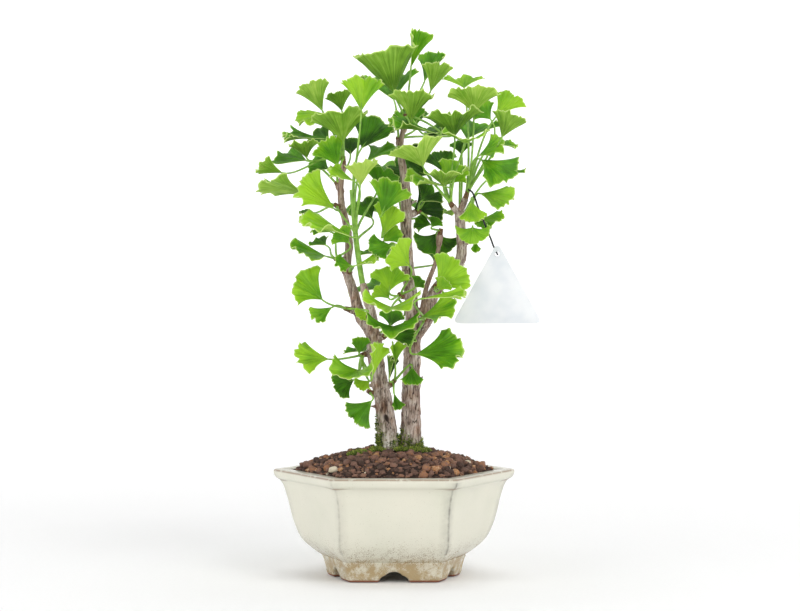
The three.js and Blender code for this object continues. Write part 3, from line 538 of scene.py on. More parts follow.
def piece(name, bm, materials, slot, *nodes):
    """Turns a shape in millimetres into a finished piece that rides on the root body."""
    bm.transform(Matrix.Scale(MM, 4))
    mesh = to_mesh(bm, name)
    for surface in materials:
        mesh.materials.append(surface)
    mesh.shade_smooth()
    made = bpy.data.objects.new(name, mesh)
    scene.collection.objects.link(made)
    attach(made, "root")
    if nodes:
        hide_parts(*nodes)
    return made


# ---- Materials ----

# The inputs 0, 6 and 7 of a colour mix are its share and its two colours.


def glazed_stoneware():
    """Cream glaze over a red-brown stoneware body: thin and dark on edges, with iron flecks low down."""
    made, tree = material("glazed_stoneware")
    spot = add(tree, "TexCoord").outputs["Object"]
    # Clouds of about 45 mm, where the glaze lies thicker and greener or thinner and warmer.
    clouds = add(tree, "TexNoise", {"Vector": spot, "Scale": 22, "Detail": 3, "Roughness": 0.5})
    cream = add(tree, "ValToRGB", {"Fac": clouds}, [(0.32, "#d8d7c6"), (0.5, "#dcdaca"), (0.68, "#dfdccc")])
    # Iron flecks of about 0.6 mm in patches of about 8 mm, more of them towards the ground.
    flecks = add(tree, "TexNoise", {"Vector": spot, "Scale": 1600, "Detail": 2, "Roughness": 0.6})
    patches = add(tree, "TexNoise", {"Vector": spot, "Scale": 120, "Detail": 4, "Roughness": 0.65})
    height = add(tree, "SeparateXYZ", {"Vector": spot}).outputs["Z"]
    low = add(tree, "MapRange", {"Value": height, "From Min": 0.042, "From Max": 0.016, "To Max": 0.26})
    many = add(tree, "MapRange", {"Value": patches, "From Min": 0.36, "From Max": 0.6, "To Min": 0.25})
    amount = add(tree, "Math", {0: low, 1: many}, operation="MULTIPLY")
    level = add(tree, "Math", {0: flecks, 1: amount}, operation="ADD")
    fleck = add(tree, "MapRange", {"Value": level, "From Min": 0.69, "From Max": 0.77})
    freckled = add(tree, "Mix", {0: fleck, 6: cream, 7: srgb("#8d7656")}, data_type="RGBA")
    # Buff, iron-stained glaze on the feet.
    stain = add(tree, "MapRange", {"Value": height, "From Min": 0.022, "From Max": 0.013, "To Max": 0.95})
    stained = add(tree, "Math", {0: stain, 1: many}, operation="MULTIPLY")
    buff = add(tree, "Mix", {0: stained, 6: freckled, 7: srgb("#ae9870")}, data_type="RGBA")
    # The glaze breaks to grey on the corners and to brown on the rim, in strokes of about 8 mm; the groove
    # under the rim gets the same brown as painted shade.
    strokes = add(tree, "TexNoise", {"Vector": spot, "Scale": 130, "Detail": 4, "Roughness": 0.65})
    edge = add(tree, "Attribute", attribute_name="edge").outputs["Fac"]
    broken = add(tree, "MapRange", {"Value": strokes, "From Min": 0.36, "From Max": 0.62, "To Min": 0.45})
    thin = add(tree, "Math", {0: edge, 1: broken}, operation="MULTIPLY")
    edged = add(tree, "Mix", {0: thin, 6: buff, 7: srgb("#77746c")}, data_type="RGBA")
    rim = add(tree, "Attribute", attribute_name="rim").outputs["Fac"]
    gaps = add(tree, "MapRange", {"Value": strokes, "From Min": 0.34, "From Max": 0.46, "To Min": 0.25})
    warm = add(tree, "Math", {0: rim, 1: gaps}, operation="MULTIPLY")
    rim_and_groove_shaded = add(tree, "Mix", {0: warm, 6: edged, 7: srgb("#8b6f58")}, data_type="RGBA")
    # Bare red clay where the feet were wiped.
    wiped = add(tree, "MapRange", {"Value": height, "From Min": 0.0022, "From Max": 0.0012})
    colour = add(tree, "Mix", {0: wiped, 6: rim_and_groove_shaded, 7: srgb("#8e5a43")}, data_type="RGBA")
    dull = add(tree, "MapRange", {"Value": wiped, "To Min": 0.24, "To Max": 0.85})
    # Dimples of about 4 mm in the glaze.
    dimples = add(tree, "TexNoise", {"Vector": spot, "Scale": 260, "Detail": 2})
    bump = add(tree, "Bump", {"Height": dimples, "Strength": 0.12, "Distance": 0.0006})
    surface = add(tree, "BsdfPrincipled", {
        "Base Color": colour, "Roughness": dull, "IOR": 1.5, "Normal": bump,
    })
    add(tree, "OutputMaterial", {"Surface": surface})
    return made


def grainy(name, ramp, grain, strength, roughness, attribute=None):
    """A rough mineral or living surface in clumps of about `grain` millimetres."""
    made, tree = material(name)
    spot = add(tree, "TexCoord").outputs["Object"]
    size = grain * MM
    clumps = add(tree, "TexNoise", {"Vector": spot, "Scale": 1 / size, "Detail": 4, "Roughness": 0.65})
    value = clumps
    if attribute:
        tint = add(tree, "Attribute", attribute_name=attribute).outputs["Fac"]
        spread = add(tree, "MapRange", {
            "Value": clumps, "From Min": 0.3, "From Max": 0.7, "To Min": -0.12, "To Max": 0.12,
        })
        value = add(tree, "Math", {0: tint, 1: spread}, operation="ADD")
    colour = add(tree, "ValToRGB", {"Fac": value}, ramp)
    bump = add(tree, "Bump", {"Height": clumps, "Strength": strength, "Distance": size / 3})
    surface = add(tree, "BsdfPrincipled", {"Base Color": colour, "Roughness": roughness, "Normal": bump})
    add(tree, "OutputMaterial", {"Surface": surface})
    return made


def fissured_bark():
    """Old ginkgo bark: pale corky ridges and brown between them; down in the cracks, the flake edges, the
    knot hole and the hollow it is painted near black, partly darker bark and partly painted shade.
    """
    made, tree = material("fissured_bark")
    spot = add(tree, "TexCoord").outputs["Object"]
    # Fibres about 1.6 mm wide and 11 mm long, up the trunk.
    stretch = add(tree, "Mapping", {"Vector": spot, "Scale": (1, 1, 0.14)})
    fibres = add(tree, "TexNoise", {"Vector": stretch, "Scale": 620, "Detail": 4, "Roughness": 0.62})
    pale = add(tree, "ValToRGB", {"Fac": fibres},
               [(0.28, "#4c3d35"), (0.43, "#98857a"), (0.56, "#c6b6ab"), (0.74, "#e3d9d2")])
    brown = add(tree, "ValToRGB", {"Fac": fibres}, [(0.3, "#472f26"), (0.48, "#8a6652"), (0.7, "#b8967d")])
    # Patches of about 12 mm where the outer bark has come off, and young bark, are brown.
    patches = add(tree, "TexNoise", {"Vector": spot, "Scale": 85, "Detail": 4, "Roughness": 0.6})
    share = add(tree, "MapRange", {"Value": patches, "From Min": 0.46, "From Max": 0.64, "To Max": 0.75})
    young = add(tree, "Attribute", attribute_name="young").outputs["Fac"]
    warm = add(tree, "Math", {0: share, 1: young}, operation="MAXIMUM")
    both = add(tree, "Mix", {0: warm, 6: pale, 7: brown}, data_type="RGBA")
    # Crusty white lichen at the foot of the left trunk, in crumbs of about 2 mm.
    lichen = add(tree, "Attribute", attribute_name="lichen").outputs["Fac"]
    crust = add(tree, "TexNoise", {"Vector": spot, "Scale": 420, "Detail": 3, "Roughness": 0.7})
    crusty = add(tree, "MapRange", {"Value": crust, "From Min": 0.4, "From Max": 0.56})
    white = add(tree, "Math", {0: lichen, 1: crusty}, operation="MULTIPLY")
    limed = add(tree, "Mix", {0: white, 6: both, 7: srgb("#d9d6cc")}, data_type="RGBA")
    # A green film of algae and moss low on the trunks.
    moss = add(tree, "Attribute", attribute_name="moss").outputs["Fac"]
    film = add(tree, "MapRange", {"Value": crust, "From Min": 0.62, "From Max": 0.42})
    green = add(tree, "Math", {0: moss, 1: film}, operation="MULTIPLY")
    mossy = add(tree, "Mix", {0: green, 6: limed, 7: srgb("#5d6f2a")}, data_type="RGBA")
    # Painted shade: the deeper a crack, flake edge, knot hole or hollow, the nearer to black, on top of the
    # darker bark down in it.
    crack_and_shade = add(tree, "Attribute", attribute_name="crack_and_shade").outputs["Fac"]
    deep = add(tree, "MapRange", {"Value": crack_and_shade, "From Min": 0.15, "From Max": 0.9, "To Max": 0.92})
    colour = add(tree, "Mix", {0: deep, 6: mossy, 7: srgb("#2a1d15")}, data_type="RGBA")
    bump = add(tree, "Bump", {"Height": fibres, "Strength": 0.5, "Distance": 0.0006})
    surface = add(tree, "BsdfPrincipled", {"Base Color": colour, "Roughness": 0.88, "Normal": bump})
    add(tree, "OutputMaterial", {"Surface": surface})
    return made


def leaf_tissue(name, young, full, old_and_shaded, glow, roughness, veins, streaks_and_pleat_shade):
    """One face of a living ginkgo leaf: waxy, veins that fan out from its foot, light coming through, with
    painted shade on leaves of low tone and in the furrows of its pleats.
    """
    made, tree = material(name)
    chart = add(tree, "UVMap", uv_map="blade").outputs["UV"]
    tone_and_shade = add(tree, "Attribute", attribute_name="tone_and_shade").outputs["Fac"]
    # Pleats 2 to 3 mm wide at the margin that run together towards the foot: streaks of the tissue's own
    # colour, and painted shade that darkens the furrows which the bump below draws.
    stretch = add(tree, "Mapping", {"Vector": chart, "Scale": (17, 1.1, 1)})
    shades = add(tree, "TexNoise", {"Vector": stretch, "Scale": 1, "Detail": 3, "Roughness": 0.6})
    streak_and_pleat_shade = add(tree, "MapRange", {
        "Value": shades, "From Min": 0.32, "From Max": 0.68, "To Min": -streaks_and_pleat_shade, "To Max": streaks_and_pleat_shade,
    })
    # Softer patches of about 15 mm, from how much light each part of the leaf has had.
    spot = add(tree, "TexCoord").outputs["Object"]
    patches = add(tree, "TexNoise", {"Vector": spot, "Scale": 65, "Detail": 2, "Roughness": 0.5})
    patchy = add(tree, "MapRange", {
        "Value": patches, "From Min": 0.35, "From Max": 0.65, "To Min": -0.16, "To Max": 0.16,
    })
    # The tissue is yellower near the margin.
    along = add(tree, "SeparateXYZ", {"Vector": chart}).outputs["Y"]
    paler = add(tree, "MapRange", {"Value": along, "From Min": 0.72, "To Max": 0.14})
    level = tone_and_shade
    for shift in (patchy, streak_and_pleat_shade, paler):
        level = add(tree, "Math", {0: level, 1: shift}, operation="ADD")
    # The dark end of the ramp is old tissue and also painted shade.
    tissue = add(tree, "ValToRGB", {"Fac": level}, [(0.05, old_and_shaded), (0.5, full), (0.95, young)])
    # Veins, drawn about 1.3 mm apart at the margin, twice as wide as real ones so that they show.
    fine = add(tree, "TexWave", {
        "Vector": chart, "Scale": 11, "Distortion": 0.6, "Detail": 1, "Detail Scale": 2,
    }).outputs["Fac"]
    vein = add(tree, "MapRange", {"Value": fine, "From Min": 0.5, "To Max": veins})
    lined = add(tree, "Mix", {0: vein, 6: tissue, 7: srgb(young)}, data_type="RGBA")
    # A thin pale yellow rim.
    rim = add(tree, "MapRange", {"Value": along, "From Min": 0.958, "From Max": 0.985, "To Max": 0.85})
    colour = add(tree, "Mix", {0: rim, 6: lined, 7: srgb("#daf08a")}, data_type="RGBA")
    bump = add(tree, "Bump", {"Height": shades, "Strength": 0.6, "Distance": 0.0014})
    surface = add(tree, "BsdfPrincipled", {
        "Base Color": colour, "Roughness": roughness, "IOR": 1.42, "Normal": bump,
    })
    # Young tissue lets yellow light through; old leaves, and leaves given painted shade by a low tone, stay
    # dark.
    thin = add(tree, "MapRange", {
        "Value": tone_and_shade, "From Min": 0.15, "From Max": 0.7, "To Min": 0.05, "To Max": 0.55,
    })
    through = add(tree, "Mix", {0: thin, 6: colour, 7: srgb(glow)}, data_type="RGBA")
    light = add(tree, "BsdfTranslucent", {"Color": through, "Normal": bump})
    both = add(tree, "MixShader", {0: 0.42, 1: surface, 2: light})
    add(tree, "OutputMaterial", {"Surface": both})
    return made


def smooth_skin(name, ramp, roughness, streak):
    """The skin of a stalk, a bud or a wire, with streaks of about `streak` millimetres."""
    made, tree = material(name)
    spot = add(tree, "TexCoord").outputs["Object"]
    streaks = add(tree, "TexNoise", {"Vector": spot, "Scale": 1 / (streak * MM), "Detail": 3})
    colour = add(tree, "ValToRGB", {"Fac": streaks}, ramp)
    bump = add(tree, "Bump", {"Height": streaks, "Strength": 0.3, "Distance": 0.0003})
    surface = add(tree, "BsdfPrincipled", {"Base Color": colour, "Roughness": roughness, "Normal": bump})
    add(tree, "OutputMaterial", {"Surface": surface})
    return made


def frosted_polypropylene():
    """Milky polypropylene sheet: light goes through, blurred, and the surface is satin."""
    made, tree = material("frosted_polypropylene")
    spot = add(tree, "TexCoord").outputs["Object"]
    # Haze in clouds of about 17 mm, and a moulded grain of about 0.4 mm.
    haze = add(tree, "TexNoise", {"Vector": spot, "Scale": 60, "Detail": 2})
    colour = add(tree, "ValToRGB", {"Fac": haze}, [(0.35, "#eef1f4"), (0.65, "#f9fafb")])
    grain = add(tree, "TexNoise", {"Vector": spot, "Scale": 2500, "Detail": 1})
    bump = add(tree, "Bump", {"Height": grain, "Strength": 0.08, "Distance": 0.0001})
    surface = add(tree, "BsdfPrincipled", {
        "Base Color": colour, "Roughness": 0.38, "IOR": 1.49, "Normal": bump,
    })
    light = add(tree, "BsdfTranslucent", {"Color": colour})
    both = add(tree, "MixShader", {0: 0.5, 1: surface, 2: light})
    add(tree, "OutputMaterial", {"Surface": both})
    return made


def matt_paper():
    """Matt white paper, lit from behind further out, which whitens the background."""
    made, tree = material("matt_paper")
    spot = add(tree, "TexCoord").outputs["Object"]
    fibres = add(tree, "TexNoise", {"Vector": spot, "Scale": 400, "Detail": 2})
    colour = add(tree, "ValToRGB", {"Fac": fibres}, [(0.4, "#f9f9f9"), (0.6, "#fbfbfb")])
    away = add(tree, "VectorMath", {0: spot}, operation="LENGTH").outputs["Value"]
    glow = add(tree, "MapRange", {"Value": away, "From Min": 0.3, "From Max": 2.2, "To Max": 0.4})
    surface = add(tree, "BsdfPrincipled", {
        "Base Color": colour, "Roughness": 0.95, "Emission Color": srgb("#ffffff"), "Emission Strength": glow,
    })
    add(tree, "OutputMaterial", {"Surface": surface})
    return made


GLAZE = glazed_stoneware()
LAVA = grainy(
    "lava_granules",
    [(0.05, "#382923"), (0.35, "#674d42"), (0.6, "#896757"), (0.8, "#ad7546"), (1, "#d9ceb6")],
    1.2, 0.9, 0.92, "tint",
)
EARTH = grainy("damp_earth", [(0.35, "#1f140f"), (0.65, "#3d271d")], 2.5, 1, 0.95)
MOSS = grainy("cushion_moss", [(0.1, "#34451a"), (0.5, "#6b8227"), (0.9, "#bcc152")], 1.0, 0.5, 0.85, "tint")
BARK = fissured_bark()
UPPER = leaf_tissue("leaf_upper_face", "#b8e43a", "#60aa1c", "#174c08", "#c2ea36", 0.36, 0.14, 0.13)
LOWER = leaf_tissue("leaf_underside", "#d6eb76", "#92c23c", "#4c840f", "#cbec40", 0.55, 0.25, 0.27)
MARGIN = smooth_skin("leaf_margin", [(0.3, "#cfe97c"), (0.7, "#e2f59a")], 0.5, 4)
STALK = smooth_skin("leaf_stalk", [(0.3, "#6d9c2c"), (0.7, "#9cca55")], 0.42, 5)
SPUR = smooth_skin("bud_scales", [(0.35, "#4b3524"), (0.55, "#7b5a3c"), (0.7, "#97794f")], 0.8, 1.2)
LABEL = frosted_polypropylene()
WIRE = smooth_skin("vinyl_coated_wire", [(0.4, "#111214"), (0.7, "#24262a")], 0.35, 3)
PAPER = matt_paper()

# ---- Camera, tie and label ----


def camera():
    data = bpy.data.cameras.new("camera")
    data.sensor_width = 36
    data.lens = CAMERA["lens"]
    data.shift_x, data.shift_y = CAMERA["shift"]
    made = bpy.data.objects.new("camera", data)
    made.location = Vector((0, -EYE["distance"], EYE["height"])) * MM
    made.rotation_euler = (math.pi / 2, 0, 0)
    scene.collection.objects.link(made)
    scene.camera = made


def tie():
    """The wire from the right limb down to the hole of the label."""
    points = [Vector(point) for point in TIE["line"]]
    line = [curve_point(points, i / TIE["steps"]) for i in range(TIE["steps"] + 1)]
    run = ([point * MM for point in line], [1] * len(line))
    data = round_curve("tie", [run], TIE["radius"] * MM, 3)
    data.materials.append(WIRE)
    made = bpy.data.objects.new("tie", data)
    scene.collection.objects.link(made)
    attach(made, "root")
    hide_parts("label_tie")
    length = sum((b - a).length for a, b in zip(line, line[1:])) * MM


def skinned(node, surface):
    """Gives a carried-over node its own material."""
    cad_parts[node].data.materials.clear()
    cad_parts[node].data.materials.append(surface)


# ---- The pot ----


def pot_corner(side, height, index):
    """A corner of the pot at a height. Low down the front and back panels keep more of their width."""
    low = 1 - clamp((height - POT["underside"]) / (POT["height"] - POT["underside"]))
    if index % 3 == 0:
        return (side if index == 0 else -side, 0)
    x = side * (0.5 + 0.16 * low ** 3.5)
    y = side * (0.866 - 0.048 * low)
    return (x if index in (1, 5) else -x, y if index < 3 else -y)


def hexagon_turned(profile):
    """A closed six-sided turning of [side corner, height] points, shut at both ends by flat panels."""
    bm = turned([[0, profile[0][1]], *profile, [0, profile[-1][1]]], 6)
    for vertex in bm.verts:
        side = math.hypot(vertex.co.x, vertex.co.y)
        if side > 0.001:
            index = round(math.atan2(vertex.co.y, vertex.co.x) / (math.pi / 3)) % 6
            vertex.co.x, vertex.co.y = pot_corner(side, vertex.co.z, index)
    return welded(bm)


def smooth_profile(points, steps):
    line = [Vector((side, height, 0)) for side, height in points]
    count = steps * (len(points) - 1)
    return [list(curve_point(line, i / count)[:2]) for i in range(count + 1)]


def foot_opening(half):
    """The cutter for the cloud-shaped gap between two feet."""
    bm = bmesh.new()
    outline = [(share * half, height) for share, height in FEET["cloud"]]
    outline += [(-x, z) for x, z in reversed(outline[:-1])]
    face = bm.faces.new([bm.verts.new((x, 0, z)) for x, z in outline])
    made = bmesh.ops.extrude_face_region(bm, geom=[face])
    moved = [item for item in made["geom"] if isinstance(item, bmesh.types.BMVert)]
    bmesh.ops.translate(bm, verts=moved, vec=(0, FEET["reach"], 0))
    bmesh.ops.recalc_face_normals(bm, faces=bm.faces)
    return bm


def feet():
    """Six feet: a skirt that is open inside and cut between the corners, its edges softened by the glaze."""
    cutters = [to_mesh(hexagon_turned(FEET["inside"]))]
    corners = [Vector((*pot_corner(FEET["outside"][0][0], 0, index), 0)) for index in range(6)]
    for corner, other in zip(corners, corners[1:] + corners[:1]):
        wide = (other - corner).length > FEET["wide_side"]
        bm = foot_opening(FEET["wide_opening"] if wide else FEET["narrow_opening"])
        turn = math.atan2(other.y - corner.y, other.x - corner.x) + math.pi
        bm.transform(Matrix.Translation((corner + other) * 0.15) @ Matrix.Rotation(turn, 4, "Z"))
        cutters.append(to_mesh(bm))
    return carved(
        to_mesh(hexagon_turned(FEET["outside"])), cutters,
        ("REMESH", {"mode": "VOXEL", "voxel_size": 0.75}), ("SMOOTH", {"factor": 0.5, "iterations": 28}),
    )


def is_wall_corner(edge):
    """Whether an edge runs up or down one of the six corners of the wall."""
    a, b = [vertex.co for vertex in edge.verts]
    sides = a.xy.length, b.xy.length
    level = abs(a.x * b.y - a.y * b.x) < 0.12 * sides[0] * sides[1]
    return level and min(sides) > 50 and edge.calc_length() > 0.1


def pot_walls():
    """The bowl and its rim, the corners rounded, the panels divided finely enough to swell a little."""
    outside = smooth_profile(BOWL + RIM, 3)
    inside = [[side - POT["wall"], height] for side, height in smooth_profile(BOWL[2:], 2)[::-1]]
    mouth = [POT["mouth"], POT["height"] - 0.6]
    floor = [POT["floor_side"], POT["underside"] + POT["floor"]]
    bm = hexagon_turned([*outside, mouth, *inside, floor])
    corners = [edge for edge in bm.edges if is_wall_corner(edge)]
    bmesh.ops.bevel(bm, geom=corners, offset=1.5, segments=4, profile=0.5, affect="EDGES", material=-1,
                    clamp_overlap=True)
    panels = []
    for edge in bm.edges:
        sides = [vertex.co.xy.length for vertex in edge.verts]
        if edge.calc_length() > 20 and max(sides) > 50 and min(sides) > 40:
            panels.append(edge)
    bmesh.ops.subdivide_edges(bm, edges=panels, cuts=11, use_grid_fill=True)
    return to_mesh(bm)


def drain_hole(x):
    """The cutter for one drainage hole."""
    bm = bmesh.new()
    radius = POT["hole"] / 2
    bmesh.ops.create_cone(bm, cap_ends=True, segments=48, radius1=radius, radius2=radius, depth=30)
    bmesh.ops.translate(bm, verts=bm.verts, vec=(x, 0, POT["underside"] + POT["floor"] / 2))
    return to_mesh(bm)


def pot():
    bm = bmesh.new()
    bm.from_mesh(carved(pot_walls(), [drain_hole(x) for x in POT["holes_at"]]))
    bm.normal_update()
    edge_layer = bm.verts.layers.float.new("edge")
    rim_and_groove_shade_layer = bm.verts.layers.float.new("rim")
    for vertex in bm.verts:
        spot = vertex.co
        side = spot.xy.length
        corners = [Vector(pot_corner(side, spot.z, index)) for index in range(6)]
        nearest = min((corner.normalized() - spot.xy.normalized()).length for corner in corners) * side
        worn = WEAR["elsewhere"]
        if side > 40 and 24 < spot.z < 84:
            worn = WEAR["right_corners"] if spot.x > 0 else WEAR["left_corners"]
        vertex[edge_layer] = worn * math.exp(-(nearest / WEAR["corner_width"]) ** 2)
        # The brown line on the roll is the glaze's own; the groove below it is painted darker as shade.
        roll = math.exp(-((spot.z - WEAR["roll_at"]) / 0.8) ** 2) * (side > 84)
        groove_shade = math.exp(-((spot.z - WEAR["groove_at"]) / 0.7) ** 2) * (side > 90)
        vertex[rim_and_groove_shade_layer] = max(WEAR["roll"] * roll, WEAR["groove_shade"] * groove_shade)
    for vertex in bm.verts:
        spot = vertex.co
        # The panels swell and sink by up to half a millimetre.
        swell = noise.noise(spot * 0.02) * 0.5 + noise.noise(spot * 0.06) * 0.18
        vertex.co = spot + vertex.normal * swell if 0 < spot.z < 84 and spot.xy.length > 40 else spot
    join(bm, feet())
    return piece("glazed_pot", bm, [GLAZE], "glaze", "pot")


# ---- Soil, granules and moss ----


def soil_height(share):
    edge = POT["height"] - SOIL["below_rim"]
    return edge + (SOIL["top"] - edge) * (1 - share ** SOIL["rounding"])


def soil_share(x, y):
    """How far out a place on the soil lies, from 0 in the middle to 1 at the pot's wall."""
    side = SOIL["edge"]
    return max(abs(y) / (0.866 * side), (abs(x) + abs(y) * 0.5774) / side)


def lump(kind):
    """A lumpy stone of about 1 mm radius."""
    bm = bmesh.new()
    bmesh.ops.create_icosphere(bm, subdivisions=2, radius=1)
    for vertex in bm.verts:
        spot = vertex.co
        bulge = noise.noise(spot * 0.9 + Vector((kind * 7, 3, 1))) * 0.5
        bulge += noise.cell(spot * 1.8 + Vector((kind, 0, 5))) * 0.27
        vertex.co = spot * (0.92 + bulge)
    return to_mesh(bm)


def granule_tint(seed):
    """Dark to rusty, with a few ochre granules and still fewer pale ones."""
    if chance(seed + 13) > 0.993:
        return 1
    if chance(seed + 11) > 0.93:
        return 0.82
    return 0.1 + 0.62 * chance(seed + 9)


def granule_places():
    """Yields where the granules lie: place, radius, how far out, and the seed for the rest of each one."""
    cells = {}
    seed = SEEDS["granules"]
    cell = 2 * GRANULES["passes"][0][2]
    for tries, small, large, closeness in GRANULES["passes"]:
        for number in range(tries):
            seed += 8
            x = mix(-GRANULES["reach"][0], GRANULES["reach"][0], chance(seed))
            y = mix(-GRANULES["reach"][1], GRANULES["reach"][1], chance(seed + 1))
            radius = mix(small, large, chance(seed + 2) ** 1.3)
            share = soil_share(x, y)
            in_trunk = any(math.hypot(x - a, y - b) < c for a, b, c in GRANULES["trunks"])
            if share > 1 - radius / 130 or in_trunk:
                continue
            i, j = int(x // cell), int(y // cell)
            around = [(i + across, j + along) for across in (-1, 0, 1) for along in (-1, 0, 1)]
            near = [other for home in around for other in cells.get(home, [])]
            if any(math.hypot(x - a, y - b) < closeness * (radius + c) for a, b, c in near):
                continue
            cells.setdefault((i, j), []).append((x, y, radius))
            yield number, x, y, radius, share, seed


def granules():
    """Lava granules of 3 to 9 mm, the large ones first, with smaller ones in the gaps, and one pebble."""
    shapes = [lump(kind) for kind in range(10)]
    bm = bmesh.new()
    layer = bm.verts.layers.float.new("tint")
    for number, x, y, radius, share, seed in granule_places():
        sunk = max(0, share - 0.93) * 14
        height = soil_height(share) + radius * mix(-0.35, 0.25, chance(seed + 3)) - sunk
        first, lean, second = [6.28 * chance(seed + i) for i in (4, 5, 7)]
        turn = Matrix.Rotation(first, 4, "Z") @ Matrix.Rotation(lean, 4, "X")
        flat = Matrix.Diagonal((1, mix(0.75, 1, chance(seed + 6)), mix(0.62, 0.95, chance(seed + 7)), 1))
        lie = Matrix.Translation((x, y, height)) @ Matrix.Rotation(second, 4, "Z") @ flat @ turn
        for vertex in join(bm, shapes[number % len(shapes)]):
            vertex.co = lie @ (vertex.co * radius)
            vertex[layer] = granule_tint(seed)
    x, y = PEBBLE["place"]
    lie = Matrix.Translation((x, y, soil_height(soil_share(x, y)) + 2)) @ Matrix.Diagonal((1, 0.8, 0.7, 1))
    for vertex in join(bm, shapes[3]):
        vertex.co = lie @ (vertex.co * PEBBLE["radius"])
        vertex[layer] = 1.2
    return piece("lava_granules", bm, [LAVA], "granules")


def cushion_places():
    """Where the tips of the moss cushions stand on the soil, and which way they point."""
    places = []
    for number, (x, y, wide, deep, count) in enumerate(CUSHIONS):
        for i in range(count):
            seed = SEEDS["cushions"] + 4000 * number + 3 * i
            out = chance(seed) ** 0.5
            turn = 6.28 * chance(seed + 1)
            spot = Vector((x + wide * out * math.cos(turn), y + deep * out * math.sin(turn), 0))
            spot.z = soil_height(soil_share(spot.x, spot.y)) + 1.2 + 1.6 * (1 - out * out)
            way = Vector((0.7 * math.cos(turn) * out, 0.7 * math.sin(turn) * out, 1))
            places.append((spot, way.normalized()))
    return places


def moss(bark_places):
    """Moss on the bark and in cushions on the soil: short leafy tips that point up and outwards."""
    bm = bmesh.new()
    layer = bm.verts.layers.float.new("tint")
    cone = bmesh.new()
    foot, end = TIPS["radii"]
    bmesh.ops.create_cone(cone, cap_ends=True, segments=5, radius1=foot, radius2=end, depth=1)
    bmesh.ops.translate(cone, verts=cone.verts, vec=(0, 0, 0.5))
    tip = to_mesh(cone)
    for number, (spot, way) in enumerate(bark_places + cushion_places()):
        seed = SEEDS["moss_tips"] + 5 * number
        lean = Vector([chance(seed + i) - 0.5 for i in range(3)])
        length = mix(*TIPS["lengths"], chance(seed + 3))
        turn = (way + lean).to_track_quat("Z", "Y").to_matrix().to_4x4()
        shape = Matrix.Translation(spot - way * 0.4) @ turn
        for vertex in join(bm, tip):
            vertex[layer] = mix(0.1, 0.95, chance(seed + 4)) * (0.45 + 0.55 * vertex.co.z)
            vertex.co = shape @ Vector((vertex.co.x, vertex.co.y, vertex.co.z * length))
    return piece("cushion_moss", bm, [MOSS], "granules")


# ---- The wood ----


def limb_run(line, radii):
    points = [place(point) for point in line]
    steps = 6 * (len(points) - 1)
    shares = [i / steps for i in range(steps + 1)]
    return [curve_point(points, share) for share in shares], [between(radii, share) for share in shares]


def spur_run(root, tip):
    """A spur with the close rings that each year's leaves leave on it."""
    root, tip = place(root), place(tip)
    shares = [i / SPURS["steps"] for i in range(SPURS["steps"] + 1)]
    rings = [SPURS["rings"][i % 2] * min(1, 3 * share) for i, share in enumerate(shares)]
    radii = [mix(*SPURS["radii"], share) + ring for share, ring in zip(shares, rings)]
    radii[-1] = SPURS["end"]
    return [root.lerp(tip, share) for share in shares], radii


def stub_run(root, tip, radius):
    root, tip = place(root), place(tip)
    return [root, root.lerp(tip, 0.6), tip], [radius * 1.3, radius, radius * 0.8]


def furrows(spot, thick):
    """How deep the cracks and the edges of flakes cut in at a spot of the bark, from 0 to about 1."""
    # Furrows in a grain of about 3 by 18 mm, and flakes in one of about 3 by 5 mm.
    grain = Vector((spot.x * 0.36, spot.y * 0.36, spot.z * 0.055))
    furrow = noise.noise(grain) + 0.35 * noise.noise(grain * 2.3)
    crack_and_shade = max(0, 1 - abs(furrow) / 0.11) * min(1, 0.3 + thick)
    cross = Vector((spot.x * 0.3, spot.y * 0.3, spot.z * 0.22)) + Vector((9, 4, 7))
    flake = max(0, 1 - abs(noise.noise(cross)) / 0.05) * 0.5 * thick
    return crack_and_shade, flake


def mark_share(mark, spot, normal):
    """How strongly a mark on the front of the bark shows at a spot, from 0 to 1."""
    across = spot.x - mark["x"]
    up = spot.z - mark["z"] + across * mark["tilt"]
    return math.exp(-(across / mark["wide"]) ** 2 - (up / mark["tall"]) ** 2) * (normal.y < 0)


def moss_share(side, spot, normal, lichen):
    """How mossy a trunk is: all round at its foot, and further up on the sides out of the light."""
    foot = math.exp(-((spot.z - SOIL["top"]) / 9) ** 2)
    left_face, right_face = max(0, -normal.x), max(0, normal.x)
    if side == "right":
        return min(1, 1.2 * foot + left_face * clamp((126 - spot.z) / 12))
    sides = left_face * clamp((138 - spot.z) / 22) + right_face * clamp((120 - spot.z) / 14)
    return min(1, 1.2 * sides + 0.7 * foot * (1 - lichen))


